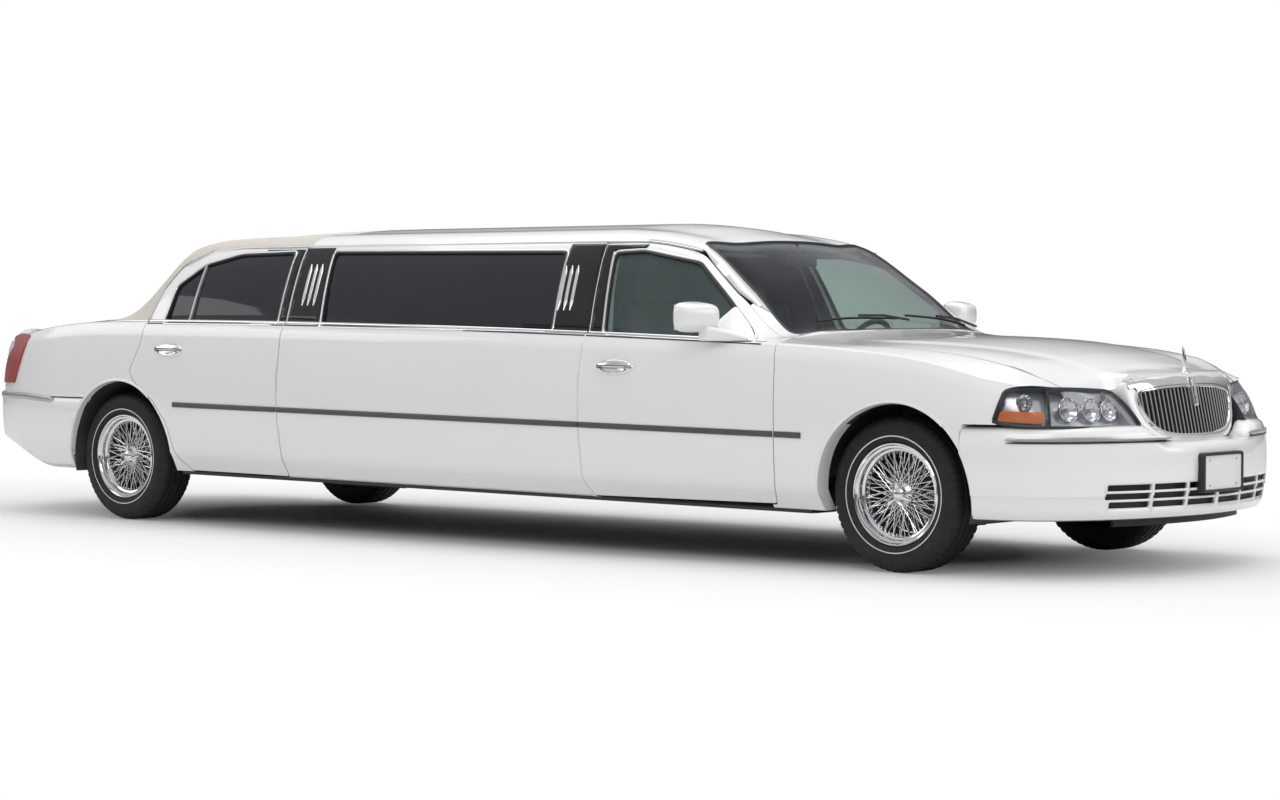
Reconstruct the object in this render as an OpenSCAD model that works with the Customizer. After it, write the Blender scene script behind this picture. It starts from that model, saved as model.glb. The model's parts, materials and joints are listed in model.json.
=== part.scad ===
// Stretch limousine: a body on a ladder frame, with four doors, hood, boot lid,
// steered front wheels and a solid rear axle. X points to the front, Y to the left.

/* [Overall] */
// Distance between the front and rear axles
wheelbase = 5040; // [4000:10:6200]
// Width of the body at its side mouldings
body_w = 1990; // [1650:5:2400]
// Height of the roof's crown
roof_h = 1540; // [1280:5:1850]
// From the front axle to the front plate bracket's face
front_overhang = 1080; // [1060:5:1100]
// From the rear axle to the rear bumper's end
rear_overhang = 1400; // [1390:5:1410]

/* [Body heights at the front doors] */
// Lower edge of the sills
sill_h = 240; // [200:5:290]
// Lower crease
crease_h = 350; // [330:5:400]
// Side moulding
moulding_h = 583; // [500:5:650]
// Belt line
belt_h = 972; // [860:5:1030]

/* [Wheels] */
// Tyre diameter
tyre_d = 676; // [600:2:700]
// Tyre width
tyre_w = 225; // [190:5:240]
// Diameter of the rim's lip
rim_lip_d = 445; // [400:5:480]
// From the body side in to a front wheel's centre plane
front_wheel_inset = 190; // [180:5:230]
// From the body side in to a rear wheel's centre plane
rear_wheel_inset = 165; // [150:5:200]
// Radius of the wheel arches
arch_r = 404; // [396:2:430]
// Spokes modelled on each wheel
spoke_count = 12; // [6:2:20]

/* [Walls and gaps] */
// Thickness of the lower body and doors
door_wall = 80; // [60:5:100]
// Thickness of the roof and window frames
frame_wall = 40; // [30:2:55]
// Gap around doors and lids
panel_gap = 6; // [5.5:0.5:8]
// Glass thickness
glass_t = 6; // [4:1:10]
// Radial clearance of a wheel hub on its spindle
hub_play = 0.05; // [0.02:0.01:0.1]
// Gap between a hinge or ball joint and what it carries
seat_gap = 0.3; // [0.2:0.1:0.8]

/* [Chassis] */
// Thickness of the floor sheet with its beads
floor_t = 20; // [15:1:30]
// Height of the floor's underside
floor_h = 352; // [340:2:380]
// Height of a frame rail
rail_h = 62; // [50:2:80]
// Width of a frame rail
rail_w = 60; // [40:2:80]
// Distance of a frame rail's centre from the middle
rail_y = 430; // [380:5:440]
// Radius of the wheel spindles
spindle_r = 20; // [16:1:26]
// From a front wheel's centre plane in to its steering axis
kingpin_inset = 65; // [60:5:90]

/* [Hidden] */

half_w = body_w / 2;
xf = (wheelbase + rear_overhang - front_overhang) / 2; // front axle
xr = xf - wheelbase;                                    // rear axle
axle_z = tyre_d / 2;
moulding_fall = 0.0105; // the body's slight nose-down rake, at each height
crease_fall = 0.007;
sill_fall = 0.0053;
rake_x = xf - 605;     // where the heights above are measured
floor_top = floor_h + floor_t;
arch_x = xf + 40;      // the front arch is centred a little ahead of the wheel
arch_z = axle_z - 8;
kingpin_y = half_w - front_wheel_inset - kingpin_inset;
roof_low = roof_h - 90; // the roof's edge over the doors
frame_top = roof_h - 106;
window_top = roof_h - 138;
$fn = 64;

// Heights of the side's rows at a station x
function sill_z(x) = sill_h + (rake_x - x) * sill_fall;
function crease_z(x) = crease_h + (rake_x - x) * crease_fall;
function moulding_z(x) = moulding_h + (rake_x - x) * moulding_fall;

// [x, height of the belt line]
belt_table = [[xr - 1390, 900], [xr - 1090, 940], [xr - 803, 988], [xr - 540, 1022],
    [xr - 230, belt_h + 70], [xr + 260, belt_h + 75], [rake_x, belt_h], [xf + 60, 925],
    [xf + 493, 838], [xf + 716, 790], [xf + 960, 640]];
// [x, half the body's width at the moulding]
width_table = [[xr - 1390, half_w - 480], [xr - 1240, half_w - 255], [xr - 1070, half_w - 115],
    [xr - 840, half_w - 45], [xr - 540, half_w - 10], [xr + 100, half_w], [xf - 400, half_w],
    [xf + 390, half_w - 10], [xf + 560, half_w - 45], [xf + 716, half_w - 105],
    [xf + 780, half_w - 200], [xf + 960, half_w - 400]];
// [x, half width of the roof, hood or deck's edge, its height, height of the crown]
edge_table = [[xr - 1390, 560, 870, 900], [xr - 1300, 640, 930, 955], [xr - 1200, 690, 965, 1005],
    [xr - 940, 720, 1005, 1055], [xr - 570, 720, 1045, 1075], [xr - 290, 725, 1058, 1077],
    [xr - 235, 735, 1062, 1082], [xr - 80, 755, 1100, 1200],
    [xr + 310, 700, roof_low - 30, roof_h - 76], [xr + 500, 690, roof_low - 4, roof_h - 36],
    [xr + 860, 690, roof_low, roof_h - 10], [xr + 1400, 690, roof_low, roof_h],
    [xf - 1880, 690, roof_low, roof_h], [xf - 1630, 685, roof_low - 8, roof_h - 18],
    [xf - 1460, 672, roof_low - 24, roof_h - 48], [xf - 1290, 668, roof_low - 60, roof_h - 85],
    [xf - 970, 735, 1180, 1320], [xf - 690, 790, 1005, 1090], [rake_x + 13, 800, 995, 1034],
    [xf + 124, 800, 950, 985], [xf + 493, 800, 895, 935], [xf + 643, 740, 838, 905],
    [xf + 716, 700, 803, 888], [xf + 780, 450, 792, 870], [xf + 897, 430, 770, 851]];
function column(table, i) = [for (row = table) [row[0], row[i]]];
edge_y_table = column(edge_table, 1);
edge_z_table = column(edge_table, 2);
crown_table = column(edge_table, 3);
stations = [for (row = edge_table) row[0]];
function edge_y(x) = lookup(x, edge_y_table) + (half_w - 995) * 0.9;
function mix(a, b, t) = a + (b - a) * t;

// Rows of a half section, from the sill to the middle of the roof, as [y, z]
SILL = 0; BELT = 4; LEDGE = 5; EDGE = 8; MIDDLE = 10;
function rows(x) = let (w = lookup(x, width_table), belt = lookup(x, belt_table),
        low = moulding_z(x), ey = min(edge_y(x), w - 75), ez = lookup(x, edge_z_table),
        cz = lookup(x, crown_table), gy = w - 70, gz = belt + 8)
    [[w - 80, sill_z(x)], [w - 20, crease_z(x)], [w, low], [w - 20, mix(low, belt, 0.68)],
     [w - 50, belt], [gy, gz], [mix(gy, ey, 0.42), mix(gz, ez, 0.5)],
     [mix(gy, ey, 0.82), mix(gz, ez, 0.88)], [ey, ez], [ey * 0.55, mix(ez, cz, 0.7)], [0, cz]];

// Each row's way inwards as [y, z], in the cabin and on the flat hood and deck
cabin_inward = [[1, 0], [1, 0], [1, 0], [1, 0], [1, 0.1], [1.05, -0.03], [0.94, 0.35],
    [0.87, 0.5], [0.5, 0.87], [0.1, 1], [0, 1]];
flat_inward = [[1, 0], [1, 0], [1, 0], [1, 0], [1, 0.46], [1.03, 0.58], [0.3, 1],
    [0.1, 1], [0, 1], [0, 1], [0, 1]];
function is_flat(x) = x > xf - 700 || x < xr - 200;
function wall(i) = i <= BELT ? door_wall : (i == LEDGE ? (door_wall + frame_wall) / 2 : frame_wall);
function skin(x, i, depth) = let (p = rows(x)[i], way = (is_flat(x) ? flat_inward : cabin_inward)[i])
    [p[0] - depth * way[0], p[1] - depth * way[1]];
function at_depth(x, low, high, k) = [for (i = [low:high]) skin(x, i, k * wall(i))];
function back(list) = [for (i = [len(list) - 1:-1:0]) list[i]];
function across(half) = concat(half, [for (i = [len(half) - 2:-1:0]) [-half[i][0], half[i][1]]]);
function between(x0, x1) = [x0, for (s = stations) if (s > x0 + 1 && s < x1 - 1) s, x1];

// Joins closed sections at stations xs. A section is an outer run and an equal inner run back,
// and both runs are split along the same diagonals, so that a thin twisted wall stays whole.
module loft(xs, sections) {
    n = len(sections[0]);
    end = (len(xs) - 1) * n;
    points = [for (i = [0:len(xs) - 1]) for (p = sections[i]) [xs[i], p[0], p[1]]];
    walls = [for (i = [0:len(xs) - 2]) for (j = [0:n - 1])
        let (a = i * n + j, b = i * n + (j + 1) % n)
        each j < n / 2 ? [[a, a + n, b + n], [a, b + n, b]] : [[a, a + n, b], [a + n, b + n, b]]];
    caps = [for (j = [0:n / 2 - 2]) let (a = j, b = j + 1, c = n - 2 - j, d = n - 1 - j)
        each [[a, b, c], [a, c, d], [end + c, end + b, end + a], [end + d, end + c, end + a]]];
    polyhedron(points, concat(walls, caps));
}

// The left side's wall from row low to row high, between two depths given as shares of its wall
module side_wall(x0, x1, low, high, k0 = 0, k1 = 1) {
    xs = between(x0, x1);
    loft(xs, [for (x = xs) concat(at_depth(x, low, high, k0), back(at_depth(x, low, high, k1)))]);
}

// The same wall over the middle, from the left side's row low to the right side's
module top_wall(x0, x1, low, k0 = 0, k1 = 1) {
    xs = between(x0, x1);
    loft(xs, [for (x = xs) concat(across(at_depth(x, low, MIDDLE, k0)),
        back(across(at_depth(x, low, MIDDLE, k1))))]);
}

// An outline of [x, z] points, grown evenly all round and taken through the left side
module side_prism(outline, grow = 0) {
    translate([0, half_w + 300, 0]) rotate([90, 0, 0]) linear_extrude(half_w + 100)
        if (grow == 0) polygon(outline);
        else offset(delta = grow) polygon(outline);
}

// An outline of [x, y] points, grown evenly all round and taken straight up
module plan_prism(outline, low = 0, high = 2500, grow = 0) {
    translate([0, 0, low]) linear_extrude(high - low)
        if (grow == 0) polygon(outline);
        else offset(delta = grow) polygon(outline);
}
module both_sides() {
    children();
    mirror([0, 1, 0]) children();
}
module box(x0, x1, y0, y1, z0, z1) {
    translate([x0, y0, z0]) cube([x1 - x0, y1 - y0, z1 - z0]);
}
module round_bar(a, b, r) { // a cylinder from point a to point b
    d = b - a;
    length = norm(d);
    translate(a) rotate([0, acos(d[2] / length), atan2(d[1], d[0])]) cylinder(r = r, h = length);
}

// Door outlines as [x, z]
sill_gap = 22; // from the sill's lower edge to the doors
front_door_line = [[xf - 618, sill_z(xf - 618) + sill_gap],
    [xf - 600, crease_h], [xf - 592, moulding_h + 20], [xf - 606, belt_h - 90],
    [xf - 618, belt_h + 3], [xf - 655, belt_h + 26], [xf - 1005, 1198],
    [xf - 1265, frame_top - 45], [xf - 1470, frame_top - 10],
    [xf - 1560, frame_top], [xf - 1810, frame_top], [xf - 1730, belt_h + 30],
    [xf - 1745, 800], [xf - 1735, 600], [xf - 1724, 330], [xf - 1690, sill_z(xf - 1690) + sill_gap]];
rear_door_line = [[xr + 1278, sill_z(xr + 1278) + sill_gap],
    [xr + 1255, 600], [xr + 1245, 800], [xr + 1260, belt_h + 58],
    [xr + 1190, frame_top], [xr + 700, frame_top], [xr + 470, frame_top - 12],
    [xr + 300, frame_top - 95], [xr + 225, 1230], [xr + 208, 1060],
    [xr + 190, belt_h - 30], [xr + 116, 797], [xr + 150, 744],
    [xr + 300, 650], [xr + 400, 540], [xr + 452, 400], [xr + 478, 345],
    [xr + 551, sill_z(xr + 551) + sill_gap]];

// Window outlines as [x, z]
front_window = [[xf - 745, belt_h + 8], [xf - 972, 1147], [xf - 1238, window_top - 58],
    [xf - 1560, window_top], [xf - 1737, window_top - 8], [xf - 1643, belt_h + 40]];
stretch_window = [[xf - 1963, belt_h + 50], [xf - 2031, window_top], [xr + 1408, window_top + 14],
    [xr + 1512, belt_h + 66]];
rear_window_line = [[xr + 1195, belt_h + 74], [xr + 1125, window_top + 16], [xr + 720, window_top + 8],
    [xr + 482, window_top - 44], [xr + 321, 1247], [xr + 322, belt_h + 76]];

// Plan outlines as [x, y] for the glass at both ends, left half from the base
function whole(half) = concat(half, [for (i = [len(half) - 1:-1:0]) if (half[i][1] > 1) [half[i][0], -half[i][1]]]);
wide = (half_w - 995) * 0.9;
windscreen_plan = whole([[xf - 600, 0], [xf - 622, 400 + wide], [xf - 690, 712 + wide],
    [xf - 1322, 592 + wide], [xf - 1275, 300], [xf - 1262, 0]]);
rear_window_plan = whole([[xr - 238, 0], [xr - 205, 400 + wide], [xr - 100, 640 + wide],
    [xr + 300, 560 + wide], [xr + 318, 0]]);

// Hinge axes of the doors
front_axis_x = xf - 620;
rear_axis_x = xr + 1262;

module door(outline, inner, window, x0, x1) {
    difference() {
        union() {
            intersection() {
                side_wall(x0, x1, SILL, EDGE, 0, 0.3);
                side_prism(outline);
            }
            intersection() {
                side_wall(x0, x1, SILL, EDGE, 0.25, 1);
                side_prism(inner);
            }
        }
        side_prism(window);
    }
}
// A door's inner panel is stepped in from its outer skin, as a seal flange is
module front_door() {
    inner = [for (p = front_door_line) p[0] < xf - 1600 ? [p[0] + 14, p[1]] : p];
    door(front_door_line, inner, front_window, xf - 1830, xf - 560);
}
module rear_door() {
    inner = [for (p = rear_door_line) p[0] < xr + 640 ? [p[0] + 18, p[1]] : p];
    door(rear_door_line, inner, rear_window_line, xr + 60, xr + 1300);
}
module glass(window, x0, x1) {
    intersection() {
        side_wall(x0, x1, BELT, EDGE, 0.35, 0.35 + glass_t / frame_wall);
        side_prism(window);
    }
}
module front_glass() { glass(front_window, xf - 1830, xf - 560); }
module rear_glass() { glass(rear_window_line, xr + 60, xr + 1300); }

// Body panels
top_front = xf - 592;   // where the fenders take over from the roof's pillars
vinyl_front = xr + 1210;
vinyl_rear = xr - 120;
module door_cuts() {
    both_sides() {
        side_prism(front_door_line, panel_gap);
        side_prism(rear_door_line, panel_gap);
    }
}
module roof() {
    color("white") difference() {
        top_wall(vinyl_front, top_front, LEDGE);
        door_cuts();
        both_sides() side_prism(stretch_window);
        plan_prism(windscreen_plan);
        plan_prism(hood_plan, grow = panel_gap);
    }
}
module vinyl_top() {
    color("ivory") difference() {
        top_wall(vinyl_rear, vinyl_front, LEDGE);
        door_cuts();
        plan_prism(rear_window_plan);
    }
}
module stretch_panels() {
    color("white") both_sides() difference() {
        side_wall(xr + 1200, xf - 1660, SILL, LEDGE);
        side_prism(front_door_line, panel_gap);
        side_prism(rear_door_line, panel_gap);
        side_prism([[xf - 1700, 0], [xf - 1500, 0], [xf - 1500, 400], [xf - 1700, 400]]);
        side_prism([[xr, 0], [xr + 1286 + panel_gap, 0], [xr + 1286 + panel_gap, 330], [xr, 330]]);
        below_sill();
    }
}
module below_sill() { // leaves room for the sill's strip
    side_prism([[xr - 400, 0], [xf, 0], [xf, sill_z(xf) + sill_gap - panel_gap],
        [xr - 400, sill_z(xr - 400) + sill_gap - panel_gap]]);
}
module arches(r = arch_r) {
    translate([arch_x, 0, arch_z]) rotate([-90, 0, 0]) cylinder(r = r, h = half_w + 200);
    translate([xr + 20, 0, arch_z + 8]) rotate([-90, 0, 0]) cylinder(r = r, h = half_w + 200);
}
module front_fenders() {
    color("white") both_sides() difference() {
        intersection() {
            union() {
                side_wall(xf - 690, top_front, SILL, LEDGE);
                side_wall(top_front, xf + 716, SILL, EDGE);
            }
            side_prism([[xf - 640, 150], [xf + 389, 150], [xf + 389, 612], [xf + 495, 655],
                [xf + 520, 720], [xf + 520, 800], [xf + 716, 800], [xf + 716, 1200], [xf - 640, 1200]]);
        }
        side_prism(front_door_line, panel_gap);
        side_prism([[xf - 700, 0], [xf - 613, 0], [xf - 613, 420], [xf - 700, 420]]);
        headlight_space();
        arches();
        below_sill();
    }
}
module quarter_panels() {
    color("white") both_sides() difference() {
        union() {
            side_wall(vinyl_rear, xr + 560, SILL, LEDGE);
            side_wall(xr - 1090, vinyl_rear, SILL, EDGE);
        }
        side_prism(rear_door_line, panel_gap);
        side_prism([[xr - 266, 0], [xr - 2000, 0], [xr - 2000, bumper_top], [xr - 266, bumper_top]]);
        side_prism([[xr + 545, 0], [xr + 700, 0], [xr + 700, 420], [xr + 545, 420]]);
        tail_lamp_space();
        arches();
        below_sill();
    }
}
module sills() {
    color("black") both_sides() loft([xr + 440, xf - 420], [for (x = [xr + 440, xf - 420])
        let (s = sill_z(x), lip = s + sill_gap - panel_gap, out = half_w - 90, in = half_w - 235)
        [[out, lip], [in + 60, lip], [in + 60, floor_top], [in, floor_top], [in, s], [out, s]]]);
}
module windscreen() {
    color("lightblue") intersection() {
        top_wall(xf - 1400, xf - 592, LEDGE, 0.15, 0.15 + glass_t / frame_wall);
        plan_prism(windscreen_plan);
    }
}
module rear_window() {
    color("dimgray") intersection() {
        top_wall(xr - 300, xr + 400, LEDGE, 0.15, 0.15 + glass_t / frame_wall);
        plan_prism(rear_window_plan);
    }
}
module stretch_windows() {
    color("dimgray") both_sides() glass(stretch_window, xr + 1300, xf - 1850);
}

// Hood, with the grille's shell at its nose
grille_w = 700;
shell_w = 860;
shell_tilt = 12;
hood_plan = whole([[xf - 576, 0], [xf - 600, 400 + wide], [xf - 640, 764 + wide],
    for (s = stations) if (s > xf - 600 && s < xf + 790) [s, edge_y(s) - panel_gap],
    [xf + 905, 424], [xf + 905, 0]]);
module shell_frame() {
    translate([xf + 957, 0, 586]) rotate([0, -shell_tilt, 0]) children();
}
module hood() {
    color("white") difference() {
        union() {
            intersection() {
                top_wall(xf - 660, xf + 897, EDGE, 0, 0.75);
                plan_prism(hood_plan);
            }
            shell_frame() translate([-150, 0, 0]) rotate([90, 0, 90]) linear_extrude(150)
                polygon([[-shell_w / 2, 0], [shell_w / 2, 0], [shell_w / 2, 190], [330, 262],
                    [-330, 262], [-shell_w / 2, 190]]);
        }
        shell_frame() box(-200, 100, -grille_w / 2, grille_w / 2, 25, 238);
        shell_frame() box(-200, -60, -grille_w / 2 - 50, grille_w / 2 + 50, -1, 190);
        box(xf + 700, xf + 1000, -half_w, half_w, 400, 584);
    }
}
module grille() {
    color("silver") shell_frame() union() {
        difference() {
            box(-50, -6, -grille_w / 2, grille_w / 2, 25, 238);
            box(-60, 10, -grille_w / 2 + 18, grille_w / 2 - 18, 40, 222);
        }
        for (i = [-6:6]) box(-45, -15, i * 48 - 6, i * 48 + 6, 30, 230);
    }
}
module boot_lid() {
    color("white") union() {
        intersection() {
            top_wall(xr - 1300, xr - 250, EDGE, 0, 0.75);
            plan_prism(whole([[xr - 262, 0], [xr - 262, 690 + wide], [xr - 940, 700 + wide],
                [xr - 1130, 640 + wide], [xr - 1190, 597 + wide], [xr - 1300, 597 + wide],
                [xr - 1300, 0]]));
        }
        translate([0, 590 + wide, 0]) rotate([90, 0, 0]) linear_extrude(1180 + 2 * wide)
            polygon([[xr - 1285, 955], [xr - 1300, 935], [xr - 1345, 712], [xr - 1300, 712],
                [xr - 1270, 905]]);
    }
}

// Lamps and bumpers
lamp_inner_y = 448;
headlight_plan = [[xf + 500, half_w - 60], [xf + 600, half_w - 75], [xf + 700, half_w - 130],
    [xf + 790, half_w - 250], [xf + 860, half_w - 420], [xf + 880, lamp_inner_y],
    [xf + 750, lamp_inner_y], [xf + 750, half_w - 350], [xf + 620, half_w - 230],
    [xf + 500, half_w - 150]];
module headlight_space() {
    plan_prism(headlight_plan, 642, 752);
    difference() {
        plan_prism(headlight_plan, 751, 800);
        plan_prism(hood_plan, grow = panel_gap);
    }
}
module headlights() { color("gainsboro") both_sides() headlight_space(); }
tail_lamp_plan = [[xr - 800, half_w - 60], [xr - 1070, half_w - 125], [xr - 1210, half_w - 255],
    [xr - 1265, half_w - 390], [xr - 1200, half_w - 390], [xr - 1090, half_w - 220],
    [xr - 800, half_w - 130]];
tail_lamp_low = 708;
tail_lamp_high = 960;
module tail_lamp_space() { plan_prism(tail_lamp_plan, tail_lamp_low, tail_lamp_high); }
module tail_lights() { color("firebrick") both_sides() tail_lamp_space(); }

bumper_low = 250;
bumper_top = 645; // of the rear bumper
front_bumper_plan = [[xf + 389, half_w - 10], [xf + 570, half_w - 45], [xf + 720, half_w - 115],
    [xf + 840, half_w - 235], [xf + 940, half_w - 435], [xf + 1010, half_w - 665], [xf + 1050, 0]];
plate_x = xf + front_overhang;
module front_bumper() {
    color("white") difference() {
        union() {
            difference() {
                plan_prism(whole(back(front_bumper_plan)), bumper_low, 575);
                plan_prism(whole([[xf + 880, 0], [xf + 880, half_w - 365], [xf + 620, half_w - 130],
                    [xf + 300, half_w - 90], [xf + 300, 0]]), 0, 900);
            }
            both_sides() difference() {
                plan_prism(concat([for (p = front_bumper_plan) if (p[1] > 500) p], [[xf + 905, 455],
                    [xf + 750, 455], [xf + 620, half_w - 200], [xf + 389, half_w - 95]]), 570, 608);
            }
            both_sides() plan_prism([[xf + 480, half_w - 60], [xf + 600, half_w - 85],
                [xf + 700, half_w - 135], [xf + 790, half_w - 255], [xf + 860, half_w - 425],
                [xf + 880, 455], [xf + 750, 455], [xf + 620, half_w - 200], [xf + 480, half_w - 120]],
                600, 642);
            box(xf + 1035, plate_x, -165, 165, 350, 515); // plate bracket
        }
        arches();
        mirror([0, 1, 0]) arches();
        for (y = [-89, 89], z = [372, 493])
            translate([plate_x - 25, y, z]) rotate([0, 90, 0]) cylinder(r = 3, h = 60);
    }
}
module rear_bumper() {
    outer = [[xr - 1400, 0], [xr - 1385, half_w - 640], [xr - 1340, half_w - 430],
        [xr - 1240, half_w - 245], [xr - 1070, half_w - 105], [xr - 840, half_w - 40],
        [xr - 540, half_w - 8], [xr - 266, half_w]];
    inner = [[xr - 266, half_w - 80], [xr - 800, half_w - 120], [xr - 1200, half_w - 400],
        [xr - 1200, 0]];
    color("white") difference() {
        union() {
            plan_prism(whole(concat(outer, inner)), 262, bumper_top);
            box(xr - rear_overhang, xr - rear_overhang + 40, -165, 165, 480, bumper_top - 2); // plate bracket
        }
        // the valance rises behind the wheels
        translate([0, half_w + 50, 0]) rotate([90, 0, 0]) linear_extrude(body_w + 100)
            polygon([[xr - 560, 200], [xr - 1000, 303], [xr - 1180, 382], [xr - 1500, 400], [xr - 1500, 200]]);
        arches();
        mirror([0, 1, 0]) arches();
        for (y = [-89, 89], z = [500, 621])
            translate([xr - rear_overhang - 5, y, z]) rotate([0, 90, 0]) cylinder(r = 3, h = 40);
    }
}

// Structure
rear_floor_h = floor_top + 208;
boot_side = half_w - 410;
module floor_pan() {
    side = half_w - 235;
    color("dimgray") union() {
        box(xr + 560, xf - 640, -side, side, floor_h, floor_top);
        box(xr + 560, xr + 580, -side, side, floor_top, rear_floor_h);
        box(xr + 420, xr + 580, -side, side, rear_floor_h - floor_t, rear_floor_h);
        box(xr - 420, xr + 420, -rear_housing_y, rear_housing_y, rear_floor_h - floor_t, rear_floor_h);
        box(xr - 1180, xr - 420, -boot_side, boot_side, rear_floor_h - floor_t, rear_floor_h);
    }
}
module bulkheads() {
    side = half_w - 165;
    color("dimgray") {
        box(xf - 660, xf - 640, -side, side, floor_top, 930);
        box(xr - 20, xr, -rear_housing_y, rear_housing_y, rear_floor_h, 1000);
        box(xr - 190, xr + 40, -side + 60, side - 60, 1000, 1015);
    }
}
rear_housing_y = half_w - 300;
module housing(x, y0, y1, r, z = 0) {
    difference() {
        translate([x, y0, axle_z]) rotate([-90, 0, 0]) cylinder(r = r + 8, h = y1 - y0);
        translate([x, y0 - 1, axle_z]) rotate([-90, 0, 0]) cylinder(r = r, h = y1 - y0 + 2);
        box(x - 900, x + 900, y0 - 1, y1 + 1, -200, axle_z + z);
    }
}
module wheel_housings() {
    color("black") both_sides() {
        housing(xf + 15, half_w - 500, half_w - 108.5, arch_r + 22, 60);
        housing(xr + 20, rear_housing_y, half_w - 121.5, arch_r + 1);
        // inner wall of the rear housing
        difference() {
            translate([xr + 20, rear_housing_y, axle_z]) rotate([-90, 0, 0]) cylinder(r = arch_r + 9, h = 8);
            box(xr - 900, xr + 900, 0, half_w, -200, 520);
        }
    }
}
module radiator() {
    color("dimgray") {
        box(xf + 720, xf + 760, -lamp_inner_y, lamp_inner_y, floor_h, 760);
    }
}
module rail() { // a rail's side view, kicked up over the rear axle
    low = floor_h - rail_h;
    top = [[xf + 880, 0], [xr + 545, 0], [xr + 350, 150], [xr - 380, 150], [xr - 700, 90], [xr - 1200, 90]];
    polygon(concat([for (p = top) [p[0], floor_h + p[1]]], [for (p = back(top)) [p[0], low + p[1]]]));
}
module ladder_frame() {
    low = floor_h - rail_h + 6;
    bays = ceil((wheelbase - 2200) / 650); // between the cabin's crossmembers
    color("black") union() {
        both_sides() translate([0, rail_y + rail_w / 2, 0]) rotate([90, 0, 0]) linear_extrude(rail_w) rail();
        for (x = [xf + 560, xf + 20, xf - 700, for (i = [0:bays]) mix(xf - 1300, xr + 900, i / bays)])
            box(x - 30, x + 30, -rail_y, rail_y, low, floor_h);
        box(xr - 1180, xr - 1130, -rail_y, rail_y, low + 90, floor_h + 90);
        // outriggers that carry the sills
        for (x = [xf - 700, xf - 1300, xf - 1900, xr + 1300, xr + 900])
            box(x - 25, x + 25, -half_w + 236, half_w - 236, low, floor_h);
    }
}
shaft_z = 262;
module engine() {
    color("gray") union() {
        box(xf - 500, xf + 420, -260, 260, floor_h, 790);
        box(xf - 620, xf - 200, -150, 150, 225, floor_h);
    }
}
module driveshaft() {
    color("gray") round_bar([xr + 150, 0, shaft_z], [xf - 620, 0, shaft_z], 32);
}
arm_low = 190;
arm_t = 25;
post_high = axle_z + 148;
module front_suspension() {
    color("dimgray") union() {
        box(xf - 50, xf + 50, -rail_y - 50, rail_y + 50, arm_low - 10, floor_h - rail_h);
        both_sides() {
            plan_prism([[xf - 160, rail_y + 20], [xf + 160, rail_y + 20], [xf + 28, kingpin_y],
                [xf - 28, kingpin_y]], arm_low, arm_low + arm_t);
            translate([xf, kingpin_y, arm_low]) cylinder(r = 28, h = arm_t);
            box(xf - 55, xf + 55, rail_y + rail_w / 2, rail_y + rail_w / 2 + 40, floor_h - rail_h, post_high + 60);
            plan_prism([[xf - 55, rail_y + 60], [xf + 55, rail_y + 60], [xf + 24, kingpin_y],
                [xf - 24, kingpin_y]], post_high, post_high + 20);
            translate([xf, kingpin_y, post_high]) cylinder(r = 24, h = 20);
            translate([xf, rail_y + 130, arm_low + 5]) cylinder(r = 42, h = post_high - arm_low);
        }
    }
}
module knuckle() {
    wheel_y = half_w - front_wheel_inset;
    color("gray") union() {
        translate([xf, kingpin_y, arm_low + arm_t + seat_gap])
            cylinder(r = 20, h = post_high - arm_low - arm_t - 2 * seat_gap);
        translate([xf, kingpin_y, axle_z]) rotate([-90, 0, 0]) cylinder(r = spindle_r, h = wheel_y + 20 - kingpin_y);
        translate([xf, kingpin_y, axle_z]) rotate([-90, 0, 0]) cylinder(r = 45, h = 24);
    }
}
module rear_axle() {
    wheel_y = half_w - rear_wheel_inset;
    color("dimgray") union() {
        round_bar([xr, -wheel_y + 45, axle_z], [xr, wheel_y - 45, axle_z], 38);
        round_bar([xr, -wheel_y - 20, axle_z], [xr, wheel_y + 20, axle_z], spindle_r);
        round_bar([xr, -90, axle_z], [xr, 90, axle_z], 125);
        box(xr, xr + 150, -60, 60, 222, axle_z);
        both_sides() translate([xr, rail_y, axle_z]) cylinder(r = 55, h = floor_h - rail_h + 150 - axle_z);
    }
}
module exhaust() {
    z = floor_h - rail_h + 6 - 33;
    color("gray") union() {
        round_bar([xr - 1150, -320, z], [xf - 800, -320, z], 33);
        round_bar([xr + 950, -320, z - 18], [xr + 1500, -320, z - 18], 48);
    }
}
module fuel_tank() {
    color("dimgray") box(xr - 950, xr - 470, -rail_y + rail_w / 2, rail_y - rail_w / 2, 300, 450);
}

// Cabin
module dashboard() {
    color("dimgray") union() {
        translate([0, half_w - 180, 0]) rotate([90, 0, 0]) linear_extrude(body_w - 360)
            polygon([[xf - 660, 640], [xf - 660, 930], [xf - 960, 925], [xf - 1000, 800], [xf - 930, 640]]);
        round_bar(wheel_at + column_way * (25 + seat_gap), wheel_at + column_way * 260, 32);
    }
}
driver_y = 370;
wheel_at = [xf - 1110, driver_y, 905];
column_way = [cos(25), 0, -sin(25)];
module steering_wheel() {
    color("black") translate(wheel_at) rotate([0, 115, 0]) union() {
        rotate_extrude() translate([180, 0]) circle(r = 14);
        cylinder(r = 45, h = 25);
        for (a = [90, 210, 330]) rotate([0, 0, a]) translate([0, -14, 0]) cube([182, 28, 8]);
    }
}
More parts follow.
